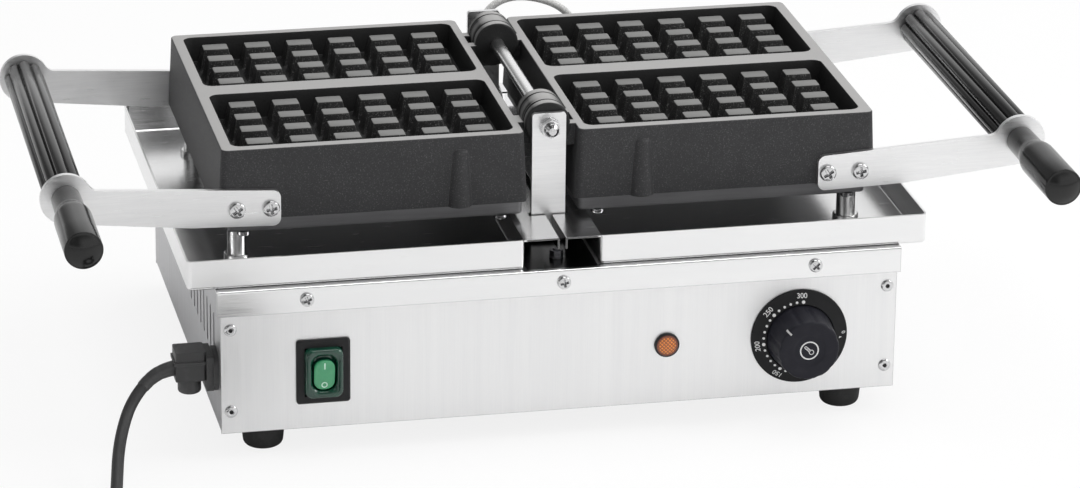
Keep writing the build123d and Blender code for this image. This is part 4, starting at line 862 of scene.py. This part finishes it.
def text_mesh(words, size, place, angle):
    """Printed words: Blender's own letters as a mesh, turned and set on the ring's face."""
    letters = bpy.data.curves.new("letters", "FONT")
    letters.body = words
    letters.size = size * mm
    letters.align_x, letters.align_y = "CENTER", "CENTER"
    letters.extrude = ink * mm / 2
    letters.offset = 0.008 * size * mm
    mesh = drawn_mesh(letters)
    stand = Matrix.Rotation(math.radians(90), 4, "X")
    lean = Matrix.Rotation(math.radians(angle), 4, "Y")
    tilt = Matrix.Rotation(-cone_slope, 4, "X")
    mesh.transform(Matrix.Translation(Vector(place) * mm) @ lean @ tilt @ stand)
    return mesh


scale_start, scale_stride, zero_turn = 1.5, -50.5, 88
dot_reach, dot_lead, dots_between = 22.1, 2.0, 5
large_dot, small_dot = 1.05, 0.78
number_reach, number_size = 25.6, 4.3


def dial_marks():
    """Numbers, a large dot beside each and four small dots between, a zero and a wedge."""
    made = Surfaces()
    for count in range(dots_between * 5 + 1):
        angle = math.radians(scale_start + dot_lead + scale_stride * count / dots_between)
        size = small_dot if count % dots_between else large_dot
        flat_figure(made, round_dot(size), *on_dial(angle, dot_reach))
    wedge = np.array([[-1.0, -0.75], [1.1, -0.1], [-0.7, 0.6]])
    place, *_, out = on_dial(math.radians(zero_turn + 6), number_reach - 1.0)
    across = np.cross(out, (0, 0, 1.0))
    across /= -np.linalg.norm(across)
    flat_figure(made, wedge, place, across, np.cross(out, across), out)
    made.piece("dial_dots", "root", "dial_black", "mark_white", flat=True)
    meshes = []
    for number, words in enumerate(("300", "250", "200", "150", "100")):
        turn = scale_start + scale_stride * number
        place, *_, out = on_dial(math.radians(turn), number_reach)
        meshes.append(text_mesh(words, number_size, place + out * ink / 2, turn))
    place, *_, out = on_dial(math.radians(zero_turn), number_reach + 0.8)
    meshes.append(text_mesh("0", number_size - 0.9, place + out * ink / 2, zero_turn))
    joined = bmesh.new()
    for mesh in meshes:
        joined.from_mesh(mesh)
        bpy.data.meshes.remove(mesh)
    bmesh.ops.remove_doubles(joined, verts=joined.verts, dist=0.0005 * mm)
    bmesh.ops.recalc_face_normals(joined, faces=joined.faces)
    mesh = bpy.data.meshes.new("dial_numbers")
    joined.to_mesh(mesh)
    joined.free()
    mesh.materials.append(finishes["mark_white"])
    numbers = added("dial_numbers", mesh)
    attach(numbers, "root")


dial_marks()


knob_lobes, knob_turn = 12, math.radians(11)
knob_sink = 0.55


def control_knob():
    """The knob: rings from its rim to its sunk face, with twelve narrow notches.

    A notch lowers the radius by a bell curve of the angle. It fades out at the rim and
    at the face, whose middle lies a little lower."""
    back = knob_high[1]
    depth = back - knob_low[1]
    profile = np.array([
        (0.0, 0.0), (0.0, 19.2), (0.25, 19.75), (0.8, 20.0), (1.8, 20.0), (2.6, 19.8), (4.5, 19.6),
        (8.0, 19.3), (12.0, 18.95), (16.0, 18.6), (19.5, 18.3), (21.6, 18.1), (22.2, 17.95),
        (22.65, 17.6), (22.95, 17.1), (23.05, 16.5), (23.1, 15.5), (23.1, 13.0), (23.1, 10.6),
        (23.02, 10.0), (22.8, 9.4), (22.62, 8.9), (22.55, 8.3), (22.55, 6.0), (22.55, 3.0), (22.55, 0.0),
    ])
    profile[:, 0] *= depth / profile[:, 0].max()
    bite = np.interp(profile[:, 0] / depth, [0, 0.09, 0.2, 0.9, 0.96, 1.0], [0, 0, 0.75, 0.6, 0.45, 0.0])
    bite[profile[:, 1] < 16.8] = 0
    angles = circle(168)
    lobe = 2 * math.pi / knob_lobes
    away = (angles + knob_turn + lobe / 2) % lobe - lobe / 2
    notch = np.exp(-(away / math.radians(4.2)) ** 2)
    grid = turned(profile[:, 1:2] - bite[:, None] * notch[None, :], profile[:, 0])
    made = Surfaces().add_closed(placed(grid, (dial_x, back, dial_z), *front_view))
    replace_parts(made.piece("control_knob", "thermostat_knob", "knob_black"), "knob")


control_knob()


def leaning(angle):
    """Directions on a face seen from the front: across and up, leaning to the left by an angle."""
    return np.array([math.cos(angle), 0, math.sin(angle)]), np.array([-math.sin(angle), 0, math.cos(angle)])


def arc(start, end, count, radius, up):
    """Points of a circle whose middle stands up from the origin, from one angle to another."""
    angles = np.radians(np.linspace(start, end, count))
    return np.column_stack([radius * np.cos(angles), up + radius * np.sin(angles)])


sign_ring, sign_stroke, sign_lean = 5.3, 0.8, math.radians(48)
bulb_radius, bulb_up = 1.35, -1.7
tube_radius, tube_up = 0.62, 3.0


def knob_sign():
    """A thermometer in its ring on the knob's sunk face: a bulb, a tube and a stem inside."""
    face = (dial_x, knob_low[1] + knob_sink, dial_z)
    made = Surfaces()
    ring_figure(made, sign_ring, sign_stroke, face, *front_view)
    across, up = leaning(sign_lean)
    bulb = arc(118, 422, 26, bulb_radius, bulb_up)
    top = arc(0, 180, 9, tube_radius, tube_up)
    line = np.concatenate([bulb, top, bulb[:1]])
    flat = np.column_stack([line, np.full(len(line), ink / 2)])
    section = np.array([[-0.22, -0.05], [0.22, -0.05], [0.22, ink / 2], [-0.22, ink / 2]])
    along = np.roll(line[:-1], -1, 0) - np.roll(line[:-1], 1, 0)
    along = np.concatenate([along, along[:1]])
    along /= np.linalg.norm(along, axis=1, keepdims=True)
    aside = np.column_stack([along[:, 1], -along[:, 0], np.zeros(len(along))])
    sign = flat[:, None, :] + section[None, :, :1] * aside[:, None, :] + section[None, :, 1:] * [0, 0, 1]
    made.add_closed(placed(sign, face, across, up, (0, -1, 0)))
    stem = np.array([[-0.16, -0.9], [0.16, -0.9], [0.16, 2.3], [-0.16, 2.3]])
    flat_figure(made, stem, face, across, up, (0, -1, 0))
    made.piece("knob_sign", "thermostat_knob", "knob_black", "mark_white", flat=True)


pointer_lean, pointer_half = math.radians(46), 0.55


def knob_pointer():
    """The pointer's line over the knob's rim: a four-sided strip through rows of reach and depth."""
    beside, outward = leaning(pointer_lean)
    reach = np.array([
        (15.4, 0.0), (16.6, 0.02), (17.2, -0.12), (17.75, -0.4), (18.15, -0.95), (18.3, -2.0), (18.4, -3.0),
    ])
    rows = []
    for lift in (0.12, -0.35):
        line = reach + [(lift * share, lift * (1 - share)) for share in np.linspace(0, 1, len(reach))]
        for aside in (-pointer_half, pointer_half) if lift > 0 else (pointer_half, -pointer_half):
            rows.append(
                np.array([dial_x, knob_low[1], dial_z])
                + line[:, :1] * outward + aside * beside - line[:, 1:] * [0, 1, 0]
            )
    made = Surfaces().add(np.stack(rows, axis=1))
    made.piece("knob_pointer", "thermostat_knob", "knob_black", "mark_dim")


knob_sign()
knob_pointer()


# Switch: clear hood in the bezel, rocker with its bright pad and two signs

rocker_lean = math.radians(7)
pad_half, pad_hollow, pad_face = 9.4, 0.35, 6.6
stroke_up, circle_up = 5.9, -6.2


def hollow(up):
    """How far the rocker's dished face rises at a height from its middle: it grows by the square."""
    return pad_hollow * (up / pad_half) ** 2


def switch():
    """Rounded outlines that swell and shrink: a hood round the window, the rocker under it, its pad."""
    pivot = joint_places["switch_tip"]
    face = (pivot[0], panel_face, pivot[2])
    rise, fall = math.sin(rocker_lean), math.cos(rocker_lean)
    tilted = ((1, 0, 0), (0, -rise, fall), (0, -fall, -rise))
    made = Surfaces()
    hood = [
        (22.0, 30.0, 3.6, 0.4), (22.3, 30.2, 3.7, 2.3), (22.0, 29.9, 3.8, 4.6), (21.5, 29.4, 4.0, 5.8),
        (20.5, 28.4, 4.2, 6.5), (19.2, 27.0, 4.4, 6.7), (17.6, 25.4, 5.0, 6.5), (16.0, 23.6, 5.4, 5.9),
        (14.8, 22.3, 5.7, 5.1), (14.3, 21.8, 5.8, 4.4), (14.3, 21.8, 5.8, 3.6), (15.4, 22.9, 5.6, 3.9),
        (19.4, 27.2, 4.2, 5.4), (20.6, 28.6, 3.8, 4.6), (20.8, 28.8, 3.6, 0.4), (22.0, 30.0, 3.6, 0.4),
    ]
    made.add_closed(placed(rounded_stack(hood), face, *front_view))
    made.piece("switch_hood", "root", "switch_black", "hood_green")
    made = Surfaces()
    body = [
        (16.0, 20.0, 2.0, -3.0), (19.6, 25.0, 2.5, -1.4), (20.2, 25.8, 2.6, 0.6), (19.8, 25.4, 2.6, 1.2),
        (15.0, 21.4, 5.6, 2.0), (12.8, 19.4, 5.6, 2.8), (12.5, 19.1, 5.5, 4.6), (12.0, 18.6, 5.2, 5.2),
    ]
    made.add(placed(rounded_stack(body), pivot, *tilted))
    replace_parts(made.piece("rocker_base", "rocker", "rocker_green", "hood_green"), "switch_rocker")
    made = Surfaces()
    pad = [
        (12.0, 18.6, 5.1, 5.0), (12.2, 18.8, 5.2, 5.9), (12.0, 18.6, 5.2, 6.3), (11.3, 17.9, 5.0, 6.55),
        (9.0, 15.6, 4.0, pad_face), (4.0, 8.0, 1.9, pad_face),
    ]
    grid = rounded_stack(pad)
    grid[..., 2] += hollow(grid[..., 1]) * (grid[..., 2] > 5.5)
    made.add(placed(grid, pivot, *tilted))
    made.piece("rocker_pad", "rocker", "rocker_green")
    made = Surfaces()
    high = placed(np.array([0, stroke_up, pad_face - 0.04 + hollow(stroke_up)]), pivot, *tilted)
    low = placed(np.array([0, circle_up, pad_face + 0.1 + hollow(circle_up)]), pivot, *tilted)
    stroke = np.array([[-0.42, -2.0], [0.42, -2.0], [0.42, 2.0], [-0.42, 2.0]])
    made.add(placed(stacked([stroke, stroke], [-0.4, 0.16]), high, *tilted))
    ring_figure(made, 1.5, 0.72, low, *tilted)
    made.piece("rocker_signs", "rocker", "rocker_green", "mark_pale", flat=True)


switch()


# Lamp lens and panel rivets

def lamp_prism():
    """A low dome of rings, its height raised by two crossing sets of triangular ridges."""
    radius, proud = (lens_high[0] - lens_low[0]) / 2, panel_face - lens_low[1]
    share = np.linspace(0, 1, 34)
    angles = circle(120)
    wide = radius + lens_lip
    across = wide * 0.97 * share[:, None] * np.cos(angles)
    up = wide * 0.97 * share[:, None] * np.sin(angles)
    slanted = (across + up, across - up)
    ridge = sum(abs(((value / (lens_pitch * math.sqrt(2))) % 1) - 0.5) for value in slanted)
    dome = proud - 0.25 - 0.9 * share[:, None] ** 2 - 0.3 * ridge * np.minimum(1, (1 - share[:, None]) * 8)
    lens = np.stack([across, up, dome], axis=-1)
    sides = spun([(proud - 1.3, wide), (1.85, wide), (1.82, radius), (-4.0, radius), (-4.0, 0.0)], 120)
    grid = placed(np.concatenate([lens, sides]), (lens_x, panel_face, lens_z), *front_view)
    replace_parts(Surfaces().add_closed(grid).piece("lamp_prism", "root", "lamp_amber"), "lamp_lens")


def blind_rivets():
    """Each rivet is a spun dome with a hole; a pin lies at the bottom of the hole, dark with painted shade."""
    low, high = corners("panel_rivets")
    head, height = 3.8, 1.3
    dome = [
        (-0.7, 0.0), (-0.7, 1.0), (0.7, 1.1), (1.1, 1.25), (1.28, 1.6), (height, 2.0), (1.15, 2.7),
        (0.75, 3.35), (0.3, 3.72), (0.0, head), (0.0, 2.2), (-5.5, 2.2), (-6.0, 1.8), (-6.0, 0.0),
    ]
    pin = [(-0.6, 0.0), (-0.6, 0.9), (0.25, 0.95), (0.4, 0.7), (0.4, 0.0)]
    heads, pins = Surfaces(), Surfaces()
    for x in (low[0] + head, high[0] - head):
        for z in (low[2] + head, high[2] - head):
            for y, out in ((low[1] + height, -1), (high[1] - height, 1)):
                turned_out = ((-out, 0, 0), (0, 0, 1), (0, out, 0))
                heads.add_closed(placed(spun(dome, 40), (x, y, z), *turned_out))
                pins.add_closed(placed(spun(pin, 20), (x, y, z), *turned_out))
    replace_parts(heads.piece("rivet_heads", "root", "zinc_screw"), "panel_rivets")
    # The pins' dark finish is painted shade at the bottom of the holes.
    pins.piece("rivet_pins", "root", "zinc_screw", "core_dark")


lamp_prism()
blind_rivets()


# Handles: lobed grip and turned end piece

grip_lobes, per_lobe = 8, 18
lobe_reach, lobe_radius = 8.3, 3.7
groove_depth, groove_width = 0.9, math.radians(1.5)


def grip(name):
    """A lobed grip whose outline is eight overlapping circles with a fine groove between them."""
    low, high = corners(name + "_handle_grip")
    x, _, z = middle(low, high)
    angles = circle(grip_lobes * per_lobe)
    lobe = 2 * math.pi / grip_lobes
    away = (angles + lobe / 2) % lobe - lobe / 2
    outline = lobe_reach * np.cos(away) + np.sqrt(lobe_radius ** 2 - (lobe_reach * np.sin(away)) ** 2)
    outline -= groove_depth * np.exp(-((abs(away) - lobe / 2) / groove_width) ** 2)
    ends = np.array([0.0, 0.25, 0.8, 1.6])
    drop = np.array([1.5, 0.8, 0.25, 0.0])
    along = np.concatenate([low[1] + ends, high[1] - ends[::-1]])
    shrink = np.concatenate([drop, drop[::-1]])
    grid = placed(turned(outline - shrink[:, None], along), (x, 0, z), (1, 0, 0), (0, 0, 1), (0, 1, 0))
    piece = Surfaces().add(grid).piece(name + "_lobed_grip", name + "_half", "grip_black")
    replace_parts(piece, name + "_handle_grip")


def grip_end(name):
    """The end piece is spun: neck, shoulder with a seam, barrel, crisp rim and low dome."""
    low, high = corners(name + "_grip_end")
    x, _, z = middle(low, high)
    barrel = (high[0] - low[0]) / 2
    rim = high[1] - low[1] - 3.6
    profile = [
        (0.0, 0.0), (0.0, 8.0), (0.5, 8.5), (8.0, 8.6), (22.0, 8.7), (25.0, 9.0), (28.0, 9.8), (29.9, 10.25),
        (30.0, 10.1), (30.25, 10.1), (30.35, 10.35), (32.0, 10.7), (34.5, 10.95), (37.0, barrel),
        (60.0, barrel), (rim - 0.7, barrel), (rim - 0.2, barrel - 0.08), (rim, barrel - 0.3),
        (rim + 0.1, barrel - 0.6),
    ]
    wide = barrel - 0.9
    profile += [(rim + 0.1 + 3.4 * (1 - (reach / wide) ** 2), reach) for reach in np.linspace(wide, 0, 12)]
    made = Surfaces().add_closed(placed(spun(profile, 72), (x, high[1], z), *front_view))
    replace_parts(made.piece(name + "_grip_barrel", name + "_half", "grip_black"), name + "_grip_end")


for name in ("left", "right"):
    grip(name)
    grip_end(name)


# Sleeved leads to the castings, behind the hinge

sleeve_radius, braid_height, braid_strands = 2.3, 0.09, 8
braid_run, sleeve_spacing = 6.5 / 2.2, 0.45
hole_x, entry_x, behind = 15.5, 65.9, 8.75


def braided_sleeve(side, name, rise, start, end):
    """A tube along a smooth curve; two sets of slanted waves on its radius make the braid.

    It curves round the hinge. The start and end places, given across and up, are not used."""
    back_y = corners(name + "_casting")[1][1]
    plane_y = back_y + behind
    flat = [(hole_x, 94.4), (hole_x, 110.0), (hole_x, 121.5), *rise, (entry_x, entry_z + behind)]
    route = [(side * x, plane_y, z) for x, z in flat]
    route += [(side * entry_x, back_y + 3.0, entry_z), (side * entry_x, back_y + 0.1, entry_z)]
    path = line_places(route, sleeve_spacing)
    turn = braid_strands * circle(32)[None, :]
    slant = 2 * math.pi / braid_run * sleeve_spacing * np.arange(len(path))[:, None]
    radius = sleeve_radius + braid_height * np.cos(turn + slant) * np.cos(turn - slant)
    made = Surfaces().add(carried(path, rings(radius), (0, 1, 0)))
    piece = made.piece(name + "_braided_sleeve", None, "sleeve_pale")
    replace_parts(piece, name + "_sleeve")
    start, end = ((side * x * mm, plane_y * mm, z * mm) for x, z in (start, end))
    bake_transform(piece)


third = casting_low[2] + (face_z - casting_low[2]) / 3
half = casting_low[2] + (face_z - casting_low[2]) / 2
entry_z = casting_low[2] + 9.0
low_arc = [(10.7, third), (27.5, face_z - 9.6), (56.3, half)]
high_arc = [(3.5, third), (3.5, face_z), (25.1, face_z + 11.04), (58.7, face_z)]
braided_sleeve(-1, "left", low_arc, start=(12.0, 132.0), end=(48.0, half + 4))
braided_sleeve(1, "right", high_arc, start=(3.5, 152.0), end=(33.0, face_z - 2.9))


# Floor, daylight and lamps

def pale_stage():
    """A wide pale floor, almost white to the eye of the camera, that keeps a soft shadow."""
    floor = Finish(Roughness=0.9)
    floor.material.name = "floor_finish"
    floor.color(floor.blend(floor.noise(3.0, 2.0), grey(0.86), grey(0.88)))
    glow = floor.node("Emission", inputs={"Color": (1, 1, 1, 1), "Strength": 1.0})
    seen = floor.node("LightPath", "Is Camera Ray") * 0.84
    lit = Value(floor, floor.shader.outputs[0])
    mixed = floor.node("MixShader", inputs={0: seen, 1: lit, 2: glow})
    floor.feed(floor.nodes["Material Output"].inputs["Surface"], mixed)
    mesh = bpy.data.meshes.new("floor")
    reach = 8.0
    square = [(-reach, -reach, 0), (reach, -reach, 0), (reach, reach, 0), (-reach, reach, 0)]
    mesh.from_pydata(square, [], [(0, 1, 2, 3)])
    mesh.materials.append(floor.material)
    ground = added("floor", mesh)


def daylight():
    """Even pale light all round, which the camera sees as white.

    Mirrors see a white room that is darker overhead, and to the left above the horizon."""
    world = bpy.data.worlds.new("daylight")
    world.use_nodes = True
    bpy.context.scene.world = world
    sky = Graph(world.node_tree)
    sky.nodes.remove(sky.nodes["Background"])
    toward = sky.node("TexCoord", "Generated")
    x, z = (sky.node("SeparateXYZ", which, {0: toward}) for which in "XZ")
    overhead = z.within(0.42, 0.72, 1.0, 0.22)
    to_left = x.within(0.02, -0.30) * z.within(0.03, 0.12, 0.0, 0.78)
    plain, seen, room = (
        sky.node("Background", inputs={"Color": (1, 1, 1, 1), "Strength": strength})
        for strength in (0.62, 1.0, overhead * (1.0 - to_left))
    )
    camera, through, mirrored = (
        sky.node("LightPath", output) for output in ("Is Camera Ray", "Is Transmission Ray", "Is Glossy Ray")
    )
    direct = sky.node("MixShader", inputs={0: sky.sum("MAXIMUM", camera, through), 1: plain, 2: seen})
    whole = sky.node("MixShader", inputs={0: mirrored, 1: direct, 2: room})
    sky.feed(sky.nodes["World Output"].inputs["Surface"], whole)


def soft_lamp(name, place, size, power):
    """A round lamp of the given width in metres and power in watts, aimed at the object."""
    lamp = bpy.data.lights.new(name, "AREA")
    lamp.shape = "DISK"
    lamp.size = size
    lamp.energy = power
    light = added(name, lamp)
    light.location = place
    light.rotation_euler = (Vector((0, 0, 0.1)) - Vector(place)).to_track_quat("-Z", "Y").to_euler()


pale_stage()
daylight()
soft_lamp("lamp_above", (0.25, 0.15, 1.7), 1.3, 13.0)
soft_lamp("lamp_left", (-1.5, -1.2, 1.1), 0.9, 1.0)
soft_lamp("lamp_right", (1.5, -0.5, 1.2), 0.9, 11.0)
bpy.context.scene.view_settings.view_transform = "Standard"
